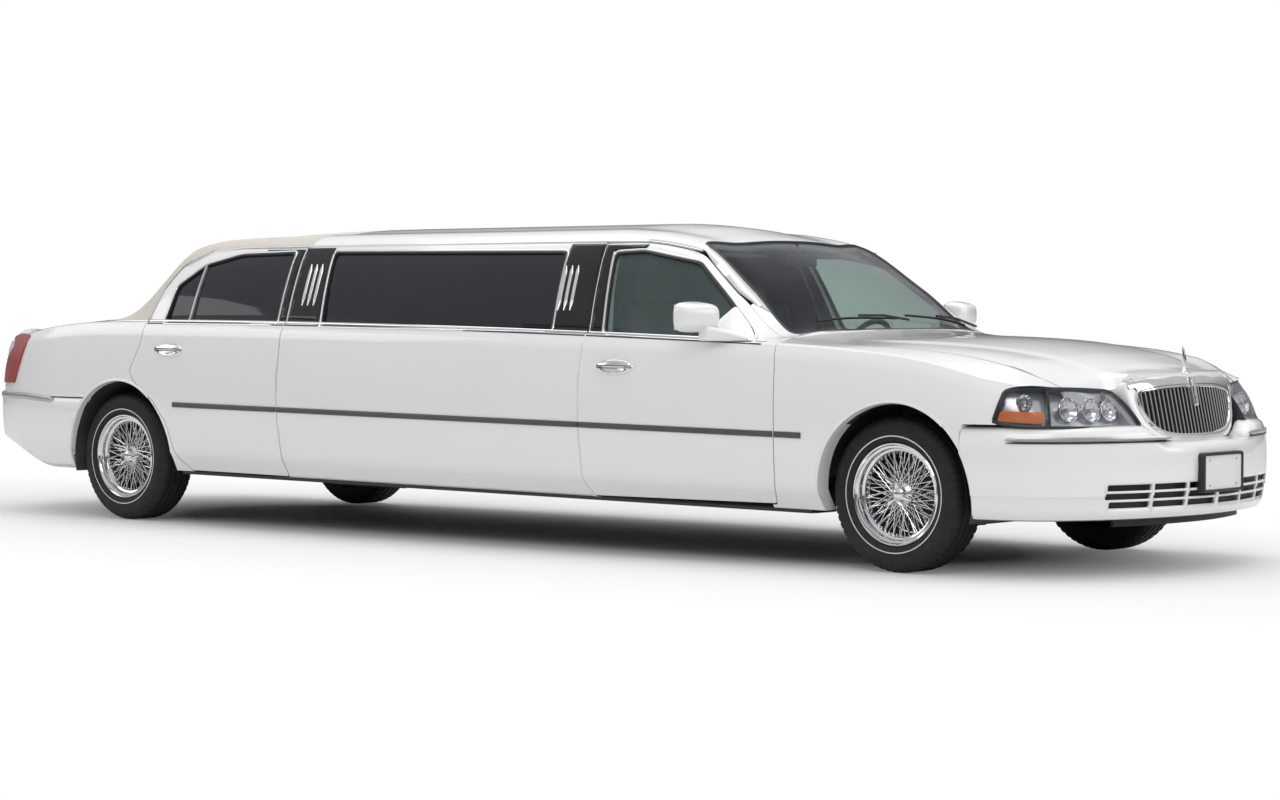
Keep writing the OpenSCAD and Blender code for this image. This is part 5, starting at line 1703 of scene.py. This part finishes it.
@dataclass
class Tail:
    """Boot lid, tail lamps and rear bumper."""

    # The tail lamp's lower and upper edges, from the side to the lid
    lamp_low: Sequence[Point] = ((-3.285, 0.939, 0.712), (-3.36, 0.916, 0.712), (-3.45, 0.872, 0.712),
                                 (-3.575, 0.745, 0.712), (-3.622, 0.612, 0.712))
    lamp_top: Sequence[Point] = ((-3.160, 0.918, 0.980), (-3.29, 0.885, 0.965), (-3.43, 0.815, 0.950),
                                 (-3.545, 0.705, 0.940), (-3.585, 0.612, 0.935))

    def helper(self) -> Lamps:
        """The lens maker, with these lamps' edges turned to face rearwards."""
        flip = [[(-x, y, z) for x, y, z in row] for row in (self.lamp_low, self.lamp_top)]
        return Lamps(flip[0], flip[1])

    def reversed_slice(self, name: str, outline: Sequence[Pair], near: float, far: float) -> Obj:
        """A lens slice at the rear of the car."""
        piece = self.helper().slice(name, outline, near, far)
        piece.data.transform(Matrix.Diagonal((-1, 1, 1, 1)))
        piece.data.flip_normals()
        return piece

    def lamp_space(self, grow: float) -> Obj:
        """The room that a tail lamp takes out of the body."""
        g = grow / 0.25
        corners = [(-g, -g), (-g, 1 + g), (0.2, 1.10), (1.2, 1.10), (1.2, -g)]
        return self.reversed_slice("tool", rounded(corners, 0.06, 4), 0.06, -0.10)

    def build(self) -> None:
        """Builds the tail's pieces."""
        corners = [(0, 0), (0, 1), (0.2, 1.07), (1, 1.07), (1, 0)]
        lens = self.reversed_slice("tail_lamp", rounded(corners, 0.05, 5), 0.003, -0.05)
        SIDES.pair(lens, RED, ROOT_PAIR, "red_lens", (("tail_lights",), ()))
        deck = FORM.shell("rear_deck", XR - 1.24, XR - 0.121, EDGE, MIDDLE, 0.0, 0.6, whole=True, step=0.03)
        lid_space = plan(((XR - 0.256, 0), (XR - 0.256, 0.696), (XR - 0.94, 0.706), (XR - 1.133, 0.646),
                          (XR - 1.193, 0.603), (XR - 1.5, 0.603), (XR - 1.5, 0)))
        for outline in (rounded(REAR_GLASS, 0.05), lid_space):
            cut(deck, plan_tool(outline))
        dress(cleaned(deck), PAINT, "root", "body_paint")
        lid = FORM.shell("lid_skin", XR - 1.30, XR - 0.25, EDGE, MIDDLE, 0.0, 0.75, whole=True, step=0.03)
        half = [(XR - 0.262, 0.0), (XR - 0.262, 0.690), (XR - 0.94, 0.700), (XR - 1.13, 0.640),
                (XR - 1.19, 0.597), (XR - 1.275, 0.597), (XR - 1.30, 0.40), (XR - 1.30, 0.0)]
        cut(lid, plan_tool(plan(half), 0.5, 1.5), "INTERSECT")
        section = from_axle(XR, ((-1262, 958), (-1296, 940), (-1318, 850), (-1340, 712), (-1300, 712),
                                 (-1268, 900)))
        drop = prism("lid_drop", section, Way.ALONG_Y, -0.590, 0.590, 0.006)
        modified(drop, "TRIANGULATE")
        panel = cleaned(joined("boot_lid_panel", [lid, drop]))
        lined(panel, PAINT, UNDER, lambda c, n: n.z < -0.6)
        dress(panel, PAINT, "boot_lid", "body_paint", "boot_lid")
        bar = prism("boot_bar", from_axle(XR, ((-1328, 800), (-1336, 800), (-1343, 768), (-1335, 768))),
                    Way.ALONG_Y, -0.56, 0.56, 0.002)
        dress(bar, BRIGHT, "boot_lid", "bright_trim")
        self.bumper()

    def bumper(self) -> None:
        """The rear bumper, its strip and a blank plate."""
        rows = [(-0.96 - 1.8 + 0.134, 0.995), (-2.90, 0.987), (-3.20, 0.955), (-3.43, 0.890), (-3.60, 0.750),
                (-3.70, 0.565), (-3.745, 0.355), (-3.757, 0.15), (-3.758, 0.0)]
        place = plan_curve(rows)
        steps, wall = 130, 0.016
        runs, path, out_ways = [], [], []
        for i in range(steps + 1):
            t = i / steps
            spot, way = place(t), place(min(1, t + 0.004)) - place(max(0, t - 0.004))
            out = Vector((way.y, -way.x, 0)).normalized()
            out = out if out.dot(spot - Vector((-2.6, 0, 0))) > 0 else -out
            floor = mix(0.262, 0.385, step_up(2.92, 3.5, -spot.x))
            deck = 0.045 * step_up(2.85, 3.2, -spot.x)
            section = [(-0.12, 0.650 + deck), (-0.03 - deck * 0.5, 0.648 + deck),
                       (-0.010, 0.640 + deck * 0.6),
                       (0.0, 0.622), (0.0, 0.56), (-0.004, 0.47), (-0.012, mix(floor, 0.47, 0.4)),
                       (-0.030, floor + 0.02), (-0.055, floor)]
            runs.append(([spot + out * a + Vector((0, 0, b)) for a, b in section],
                         [spot + out * (a - wall) + Vector((0, 0, b - (0.01 if b > 0.6 else -0.004)))
                          for a, b in section]))
            path.append(spot + Vector((0, 0, 0.630 + deck * 0.3)))
            out_ways.append(out)
        skin = walled("rear_bumper_skin", runs)
        for side in (1, -1):
            cut(skin, arch_tool("rear", side))
        dress(skin, PAINT, "root", "body_paint", "rear_bumper")
        strip = swept("rear_bumper_strip", path[9:-9], out_ways[9:-9], strip_profile(0.034, 0.006),
                      taper=0.03)
        dress(strip, SATIN, "root", "bright_trim")
        plate = block("rear_plate", (-3.7615, -0.152, 0.492), (-3.757, 0.152, 0.640), 0.001)
        dress(plate, PLATE, "root", "bright_trim")


# Wheels


@dataclass
class Wheel:
    """A tyre and a wire wheel, made once and copied to each corner."""

    lip: float = 0.2225
    radius: float = 0.338
    half: float = 0.1125

    def tyre(self) -> Obj:
        """The tyre, with grooved shoulders and a thin white line on its side."""
        r, h = self.radius, self.half
        side = [(self.lip - 0.017, 0.0875), (self.lip + 0.0005, 0.0875), (self.lip + 0.004, h - 0.012),
                (self.lip + 0.012, h - 0.006), (0.2475, h - 0.0025), (0.2485, h - 0.0005),
                (0.2535, h - 0.0005),
                (0.2545, h - 0.002), (0.270, h), (0.290, h - 0.001), (0.305, h - 0.005), (0.3145, h - 0.0095),
                (0.323, h - 0.0165), (r - 0.009, h - 0.024), (r - 0.004, h - 0.032), (r - 0.0015, h - 0.042)]
        tread = []
        for y in (0.062, 0.026):
            tread += [(r - 0.0005, y), (r - 0.008, y - 0.002), (r - 0.008, y - 0.010), (r, y - 0.012)]
        left = side + tread
        profile = left + [(a, -b) for a, b in reversed(left)]
        steps = 240
        piece = turned("tyre", profile, (0, 0, 0), steps, 28)
        for vertex in piece.data.vertices:
            reach = math.hypot(vertex.co.x, vertex.co.z)
            turn = round(math.atan2(vertex.co.z, vertex.co.x) / (2 * math.pi) * steps)
            if reach > 0.3125 and abs(vertex.co.y) > 0.058 and turn % 4 == 0:
                vertex.co.x *= (reach - 0.006) / reach
                vertex.co.z *= (reach - 0.006) / reach
        piece.data.materials.append(RUBBER.make())
        piece.data.materials.append(WHITE_LINE.make())
        for face in piece.data.polygons:
            reach = math.hypot(face.center.x, face.center.z)
            face.material_index = int(0.2484 < reach < 0.2538 and face.center.y > 0.1)
        return piece

    def rim(self) -> Obj:
        """The stepped bright rim."""
        lip = self.lip
        profile = [(lip, 0.0875), (lip + 0.001, 0.098), (lip - 0.003, 0.1015), (lip - 0.008, 0.100),
                   (lip - 0.011, 0.094), (lip - 0.014, 0.090), (lip - 0.022, 0.088), (lip - 0.025, 0.082),
                   (lip - 0.027, 0.070), (lip - 0.036, 0.066), (lip - 0.040, 0.060), (lip - 0.042, 0.035),
                   (lip - 0.050, 0.020), (lip - 0.050, -0.040), (lip - 0.040, -0.060), (lip - 0.030, -0.0875),
                   (lip, -0.0875), (lip, -0.080), (lip - 0.017, -0.0875), (lip - 0.017, 0.0875)]
        return turned("rim", profile, (0, 0, 0), 128, 30)

    def spoke_ring(self, name: str, hub: Pair, rim: Pair, lead: float, count: int, thick: float) -> list[Obj]:
        """A ring of crossing spokes.

        Args:
            name: the ring's name.
            hub: radius and place along Y where the spokes leave the hub.
            rim: the same at the rim.
            lead: how far round each spoke runs, in radians.
            count: spokes each way.
            thick: their radius.

        Returns:
            One piece for each way of leaning.
        """
        made = []
        for way in (1, -1):
            a = Vector((hub[0], hub[1], 0))
            b = Vector((rim[0] * math.cos(lead * way), rim[1], rim[0] * math.sin(lead * way)))
            spoke = tube(f"{name}_{way}", [a, b], thick, 6)
            with editing(spoke):
                bpy.ops.mesh.spin(steps=count, angle=2 * math.pi, dupli=True, center=(0, 0, 0),
                                  axis=(0, 1, 0))
            made.append(cleaned(spoke, 60))
        return made

    def hub(self) -> list[Obj]:
        """The hub shell with its eared cap."""
        profile = [(0.0, -0.030), (0.052, -0.030), (0.056, -0.020), (0.050, -0.010), (0.040, 0.010),
                   (0.042, 0.034),
                   (0.050, 0.042), (0.051, 0.048), (0.044, 0.054), (0.036, 0.060), (0.030, 0.078),
                   (0.020, 0.086), (0.008, 0.089), (0.0, 0.089)]
        shell = turned("hub_shell", profile, (0, 0, 0), 48)
        ears = []
        outline = rounded([(0.018, -0.013), (0.060, -0.007), (0.074, 0.004), (0.070, 0.012), (0.040, 0.012),
                           (0.018, 0.014)], 0.006, 3)
        for k in range(3):
            ear = prism(f"ear_{k}", outline, Way.ALONG_Y, 0.066, 0.080, 0.003)
            ear.data.transform(Matrix.Rotation(2 * math.pi * k / 3 + 0.4, 4, "Y"))
            ears.append(ear)
        return [shell, *ears]

    def build(self) -> None:
        """Builds one of each and copies it to the four corners."""
        tyre = self.tyre()
        outer_spokes = 26
        wires = (self.spoke_ring("outer", (0.046, 0.046), (0.182, 0.052), 0.62, outer_spokes, 0.0020)
                 + self.spoke_ring("middle", (0.044, 0.030), (0.180, 0.046), 0.40, 20, 0.0019)
                 + self.spoke_ring("inner", (0.052, -0.018), (0.176, 0.012), 0.50, 14, 0.0019))
        nipple = turned("nipple", [(0, -0.006), (0.0035, -0.006), (0.0035, 0.006), (0, 0.006)], (0, 0, 0), 8)
        nipple.data.transform(Matrix.Translation((0.180, 0.052, 0)) @ Matrix.Rotation(math.radians(90), 4,
                                                                                      "Z"))
        with editing(nipple):
            bpy.ops.mesh.spin(steps=2 * outer_spokes, angle=2 * math.pi, dupli=True, center=(0, 0, 0),
                              axis=(0, 1, 0))
        wheel = joined("wheel", [self.rim(), *wires, nipple, *self.hub()])
        cleaned(wheel, 36)
        # Painted shade: the rim's inner barrel and the spoke ends near it take the dark finish, standing for
        # shade inside the wheel.
        lined(wheel, BRIGHT, PAINTED_SHADE, lambda c, n: math.hypot(c.x, c.z) > 0.160 and c.y < 0.046)
        # Painted shade: the brake drum's face takes the dark finish as a dark backing behind the spokes; only
        # its back is steel.
        drum = turned("brake", [(0.0, -0.070), (0.162, -0.070), (0.166, -0.062), (0.166, -0.034),
                                (0.160, -0.030), (0.060, -0.028), (0.0, -0.040)], (0, 0, 0), 64)
        lined(drum, PAINTED_SHADE, STEEL, lambda c, n: c.y < -0.06)
        for end, x, y in (("front", XF, HALF - 0.190), ("rear", XR, HALF - 0.165)):
            for side, sign in (("left", 1), ("right", -1)):
                body = f"{end}_wheel_{side}"
                for source, name, finish, slot, nodes in (
                    (tyre, f"{end}_tyre_{side}", RUBBER, "tyre_rubber", (f"tyre_{end}_{side}",)),
                    (wheel, f"{end}_wire_wheel_{side}", BRIGHT, "wheel_chrome", (f"wheel_{end}_{side}",)),
                    (drum, f"{end}_brake_{side}", STEEL, "axle_steel", ()),
                ):
                    piece = copied(source, name)
                    if sign < 0:
                        piece.data.transform(Matrix.Diagonal((1, -1, 1, 1)))
                        piece.data.flip_normals()
                    piece.data.transform(Matrix.Translation((x, sign * y, AXLE)))
                    dress(piece, finish, body, slot, *nodes)
        for source in (tyre, wheel, drum):
            bpy.data.objects.remove(source)


# Cabin


@dataclass
class Cabin:
    """Seats, dash, steering wheel and what else shows through the glass."""

    floor: float = 0.372

    def cushion(self, name: str, low: Point, high: Point, crown: float, lean: float = 0.0) -> Obj:
        """A stuffed cushion: rounded, crowned on its top and pulled in at its seams.

        Args:
            name: the piece's name.
            low: lowest corner of its box.
            high: highest corner.
            crown: how far its faces rise.
            lean: turn about Y in degrees, at its lower rear edge.

        Returns:
            The cushion.
        """
        size = [h - l for l, h in zip(low, high)]
        bpy.ops.mesh.primitive_cube_add(size=1)
        piece = bpy.context.active_object
        piece.scale, piece.location = [s - crown for s in size], [(h + l) / 2 for l, h in zip(low, high)]
        placed(piece, name)
        with editing(piece):
            bpy.ops.mesh.bevel(offset=min(size) * 0.30, segments=4)
            bpy.ops.mesh.subdivide(number_cuts=3)
        middle = Vector([(h + l) / 2 for l, h in zip(low, high)])
        thin = size.index(min(size))
        wide = [k for k in range(3) if k != thin]
        for vertex in piece.data.vertices:
            off = vertex.co - middle
            u, v = (2 * off[k] / size[k] for k in wide)
            dome = max(0.0, 1 - u * u) * max(0.0, 1 - v * v)
            side_seam = math.exp(-((abs(u) - 0.55) / 0.05) ** 2) * 0.35
            channel = math.exp(-((v * 2.2 + 8.25) % 1.1 - 0.55) ** 2 / 0.006) * 0.18
            vertex.co[thin] += math.copysign(crown * dome * (1 - side_seam - channel), off[thin])
        modified(piece, "SUBSURF", levels=1, render_levels=1)
        if lean:
            base = Vector((low[0], middle.y, low[2]))
            turn = Matrix.Translation(base) @ Matrix.Rotation(math.radians(lean), 4,
                                                              "Y") @ Matrix.Translation(-base)
            piece.data.transform(turn)
        cleaned(piece, 60)
        return piece

    def build(self) -> None:
        """Builds the cabin."""
        floor, x = self.floor, XF - 1.15
        for side, y, nodes in (("left", 0.37, ("front_seats",)), ("right", -0.37, ())):
            for name, low, high, crown, lean, stands_for in (
                ("front_seat_cushion", (-0.52, -0.26, 0.10), (-0.01, 0.26, 0.255), 0.022, 0, nodes),
                ("front_seat_back", (-0.60, -0.25, 0.20), (-0.46, 0.25, 0.78), 0.020, -12, ()),
                ("headrest", (-0.735, -0.135, 0.745), (-0.635, 0.135, 0.925), 0.014, -6, ()),
            ):
                low, high = ((x + p[0], y + p[1], floor + p[2]) for p in (low, high))
                piece = self.cushion(f"{name}_{side}", low, high, crown, lean)
                dress(piece, LEATHER, "root", "seat_leather", *stands_for)
            base = block(f"seat_base_{side}", (x - 0.48, y - 0.22, floor),
                         (x - 0.06, y + 0.22, floor + 0.11), 0.01)
            dress(base, BLACK, "root", "black_plastic")
        for name, low, high, crown, lean, nodes in (
            ("rear_bench_cushion", (0.585, -0.66, 0.09), (0.975, 0.66, 0.235), 0.02, 0, ("rear_seats",)),
            ("rear_bench_back", (0.24, -0.66, 0.235), (0.37, 0.66, 0.60), 0.02, -16, ()),
            ("side_bench_cushion", (1.32, -0.66, 0.09), (3.18, -0.26, 0.235), 0.018, 0, ()),
            ("side_bench_back", (1.32, -0.672, 0.24), (3.18, -0.60, 0.63), 0.012, 0, ()),
        ):
            low, high = ((XR + p[0], p[1], floor + p[2]) for p in (low, high))
            dress(self.cushion(name, low, high, crown, lean), LEATHER, "root", "seat_leather", *nodes)
        self.dash()
        self.steering()
        self.inner_mirror()

    def dash(self) -> None:
        """A rounded dash with a hood over the dials, and a column."""
        profile = rounded([(XF - 0.668, 0.650), (XF - 0.668, 0.925), (XF - 0.80, 0.945), (XF - 0.945, 0.930),
                           (XF - 0.998, 0.885), (XF - 1.000, 0.800), (XF - 0.940, 0.650)], 0.05, 5)
        shelf = prism("dash_top", profile, Way.ALONG_Y, -0.80, 0.80, 0.0)
        pod = prism("dial_hood", rounded([(XF - 0.80, 0.93), (XF - 0.86, 0.975), (XF - 1.00, 0.965),
                                          (XF - 1.01, 0.93),
                                          (XF - 0.98, 0.86), (XF - 0.86, 0.86)], 0.02, 4), Way.ALONG_Y, 0.18,
                                          0.56, 0.012)
        column = tube("column", [Vector((XF - 1.085, 0.37, 0.893)), Vector((XF - 0.92, 0.37, 0.815))], 0.032,
                      20)
        dress(cleaned(joined("dashboard_shell", [shelf, pod, column]), 40), DASH, "root", "dash_plastic",
              "dashboard")

    def steering(self) -> None:
        """The steering wheel's rim, spokes and padded middle."""
        rim = [Vector((x, 0.0, z)) for x, z in circle(0.18, 72)]
        grip = swept("grip", rim, [Vector((0, 1, 0))] * len(rim), circle(0.0135, 12), True)
        middle = turned("boss", [(0, -0.012), (0.052, -0.012), (0.060, 0.0), (0.050, 0.014), (0.0, 0.020)],
                        (0, 0, 0), 40)
        ends = [Vector((0.175 * math.cos(a), 0, 0.175 * math.sin(a))) for a in map(math.radians,
                                                                                   (10, 170, 270))]
        arms = [tube(f"arm_{k}", [Vector((0, 0, 0)), end], 0.011, 8) for k, end in enumerate(ends)]
        wheel = joined("steering_wheel_rim", [grip, middle, *arms])
        tilt = math.radians(25)
        faced(wheel, Vector((XF - 1.110, 0.37, 0.905)), Vector((-math.cos(tilt), 0, math.sin(tilt))))
        dress(cleaned(wheel, 40), DASH, "steering_wheel", "black_plastic", "steering_wheel")

    def inner_mirror(self) -> None:
        """The rear-view mirror under the screen's header, and the sun visors."""
        mirror = block("inner_mirror", (XF - 1.235, -0.125, 1.325), (XF - 1.205, 0.125, 1.385), 0.012, 3)
        stem = tube("mirror_stem", [Vector((XF - 1.215, 0, 1.37)), Vector((XF - 1.235, 0, 1.435))], 0.008, 8)
        dress(cleaned(joined("rear_view_mirror", [mirror, stem]), 45), DASH, "root", "black_plastic")
        for side, y in (("left", 0.36), ("right", -0.36)):
            visor = block(f"sun_visor_{side}", (XF - 1.42, y - 0.19, 1.400), (XF - 1.27, y + 0.19, 1.416),
                          0.006, 2)
            hinge = Matrix.Translation((XF - 1.42, 0, 1.42))
            visor.data.transform(hinge @ Matrix.Rotation(math.radians(14), 4, "Y") @ hinge.inverted())
            dress(visor, LINING, "root", "dash_plastic")


# Underneath


@dataclass
class Underbody:
    """The carried-over nodes, each with its finish."""

    finishes: Sequence[tuple[Finish, Sequence[str]]] = (
        (BLACK, ("sills",)), (CARPET, ("floor_pan",)), (LINING, ("bulkheads",)), (CAST, ("engine",)),
        (UNDER, ("wheel_housings", "radiator", "ladder_frame", "fuel_tank")), (PIPE, ("exhaust",)),
        (STEEL, ("front_suspension", "rear_axle", "driveshaft", "hinges", "knuckle_left", "knuckle_right")))

    def build(self, nodes: dict[str, Obj]) -> None:
        """Puts each finish on its node."""
        for finish, names in self.finishes:
            for name in names:
                mesh = nodes[name].data
                mesh.materials.clear()
                mesh.materials.append(finish.make())
                LOG.info("%s keeps its shape", name)


# Studio


@dataclass
class Studio:
    """Camera, lights, floor and surroundings."""

    eye: Point = (10.51, -11.667, 1.171)
    turn: Point = (88.15, 0.0, 40.73)
    lens: float = 87.4

    def build(self) -> None:
        """Sets up everything that isn't the car."""
        scene = bpy.context.scene
        scene.view_settings.view_transform = "Standard"
        camera = bpy.data.objects.new("camera", bpy.data.cameras.new("camera"))
        camera.data.lens, camera.data.sensor_width, camera.data.clip_end = self.lens, 36, 200
        camera.location, camera.rotation_euler = self.eye, [math.radians(a) for a in self.turn]
        scene.collection.objects.link(camera)
        scene.camera = camera
        self.floor()
        self.surroundings()
        for name, place, aim, size, power in (
            ("key", (6.5, -7.5, 6.5), (0.3, 0, 0.6), (7.0, 4.0), 215),
            ("top", (0.0, 0.5, 7.0), (0, 0, 0), (12.0, 4.5), 290),
            ("front", (9.5, 2.5, 3.5), (2.5, 0, 0.6), (4.0, 3.0), 90),
            ("back", (-8.0, -5.0, 4.0), (-2.0, 0, 0.8), (5.0, 3.0), 70),
        ):
            light = bpy.data.lights.new(name, "AREA")
            light.shape, light.size, light.size_y, light.energy = "RECTANGLE", *size, power
            holder = bpy.data.objects.new(name, light)
            holder.location = place
            holder.rotation_euler = (Vector(aim) - Vector(place)).to_track_quat("-Z", "Y").to_euler()
            scene.collection.objects.link(holder)

    @staticmethod
    def floor() -> None:
        """A plain pale floor that goes white towards the camera's background and keeps the shadow."""
        bpy.ops.mesh.primitive_plane_add(size=160)
        floor = placed(bpy.context.active_object, "floor")
        sheet = Sheet("floor_finish")
        sheet.set(Base_Color=(0.80, 0.80, 0.80, 1), Roughness=0.6, Specular_IOR_Level=0.2)
        flat = sheet.node("ShaderNodeVectorMath", {"operation": "MULTIPLY"},
                          {0: sheet.spot(), 1: (0.42, 1, 0)})
        far = sheet.node("ShaderNodeVectorMath", {"operation": "LENGTH"}, {0: flat.outputs[0]})
        share = ((Value(sheet, far.outputs["Value"]) - 1.1) / 1.7).held()
        path = sheet.node("ShaderNodeLightPath", {}, {})
        seen = Value(sheet, path.outputs["Is Camera Ray"])
        white = sheet.node("ShaderNodeEmission", {}, {0: (1, 1, 1, 1), 1: 1.0})
        ends = {1: sheet.shader.outputs[0], 2: white.outputs[0]}
        mixed = sheet.node("ShaderNodeMixShader", {}, {0: share * seen, **ends})
        sheet.tree.links.new(mixed.outputs[0], sheet.out.inputs[0])
        floor.data.materials.append(sheet.material)

    @staticmethod
    def surroundings() -> None:
        """A soft studio sky, darker near the horizon, white where the camera sees it."""
        world = bpy.data.worlds.new("studio")
        bpy.context.scene.world = world
        world.use_nodes = True
        tree = world.node_tree
        tree.nodes.clear()
        place = tree.nodes.new("ShaderNodeTexCoord")
        parts = tree.nodes.new("ShaderNodeSeparateXYZ")
        tree.links.new(place.outputs["Generated"], parts.inputs[0])
        ramp = tree.nodes.new("ShaderNodeValToRGB")
        for _ in range(2):
            ramp.color_ramp.elements.new(0.5)
        levels = ((0.0, 0.14), (0.10, 0.26), (0.30, 0.82), (0.85, 1.0))
        for element, (spot, level) in zip(ramp.color_ramp.elements, levels):
            element.position, element.color = spot, (level, level, level * 1.01, 1)
        tree.links.new(parts.outputs["Z"], ramp.inputs[0])
        sky, plain = tree.nodes.new("ShaderNodeBackground"), tree.nodes.new("ShaderNodeBackground")
        sky.inputs[1].default_value = 0.72
        plain.inputs[0].default_value, plain.inputs[1].default_value = (1, 1, 1, 1), 1.0
        tree.links.new(ramp.outputs[0], sky.inputs[0])
        kinds = ("ShaderNodeLightPath", "ShaderNodeMixShader", "ShaderNodeOutputWorld")
        path, mixed, out = (tree.nodes.new(kind) for kind in kinds)
        tree.links.new(path.outputs["Is Camera Ray"], mixed.inputs[0])
        tree.links.new(sky.outputs[0], mixed.inputs[1])
        tree.links.new(plain.outputs[0], mixed.inputs[2])
        tree.links.new(mixed.outputs[0], out.inputs[0])


SIDES, ROOF, LAMPS, NOSE, TAIL = Sides(), Roof(), Lamps(), Nose(), Tail()


def main() -> None:
    """Builds the car's looks in order."""
    logging.basicConfig(level=logging.INFO, format="%(message)s")
    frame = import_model()
    Studio().build()
    for part in (SIDES, ROOF, LAMPS, NOSE, TAIL, Wheel(), Cabin()):
        part.build()
    Underbody().build(frame["nodes"])


if __name__ == "__main__":
    main()
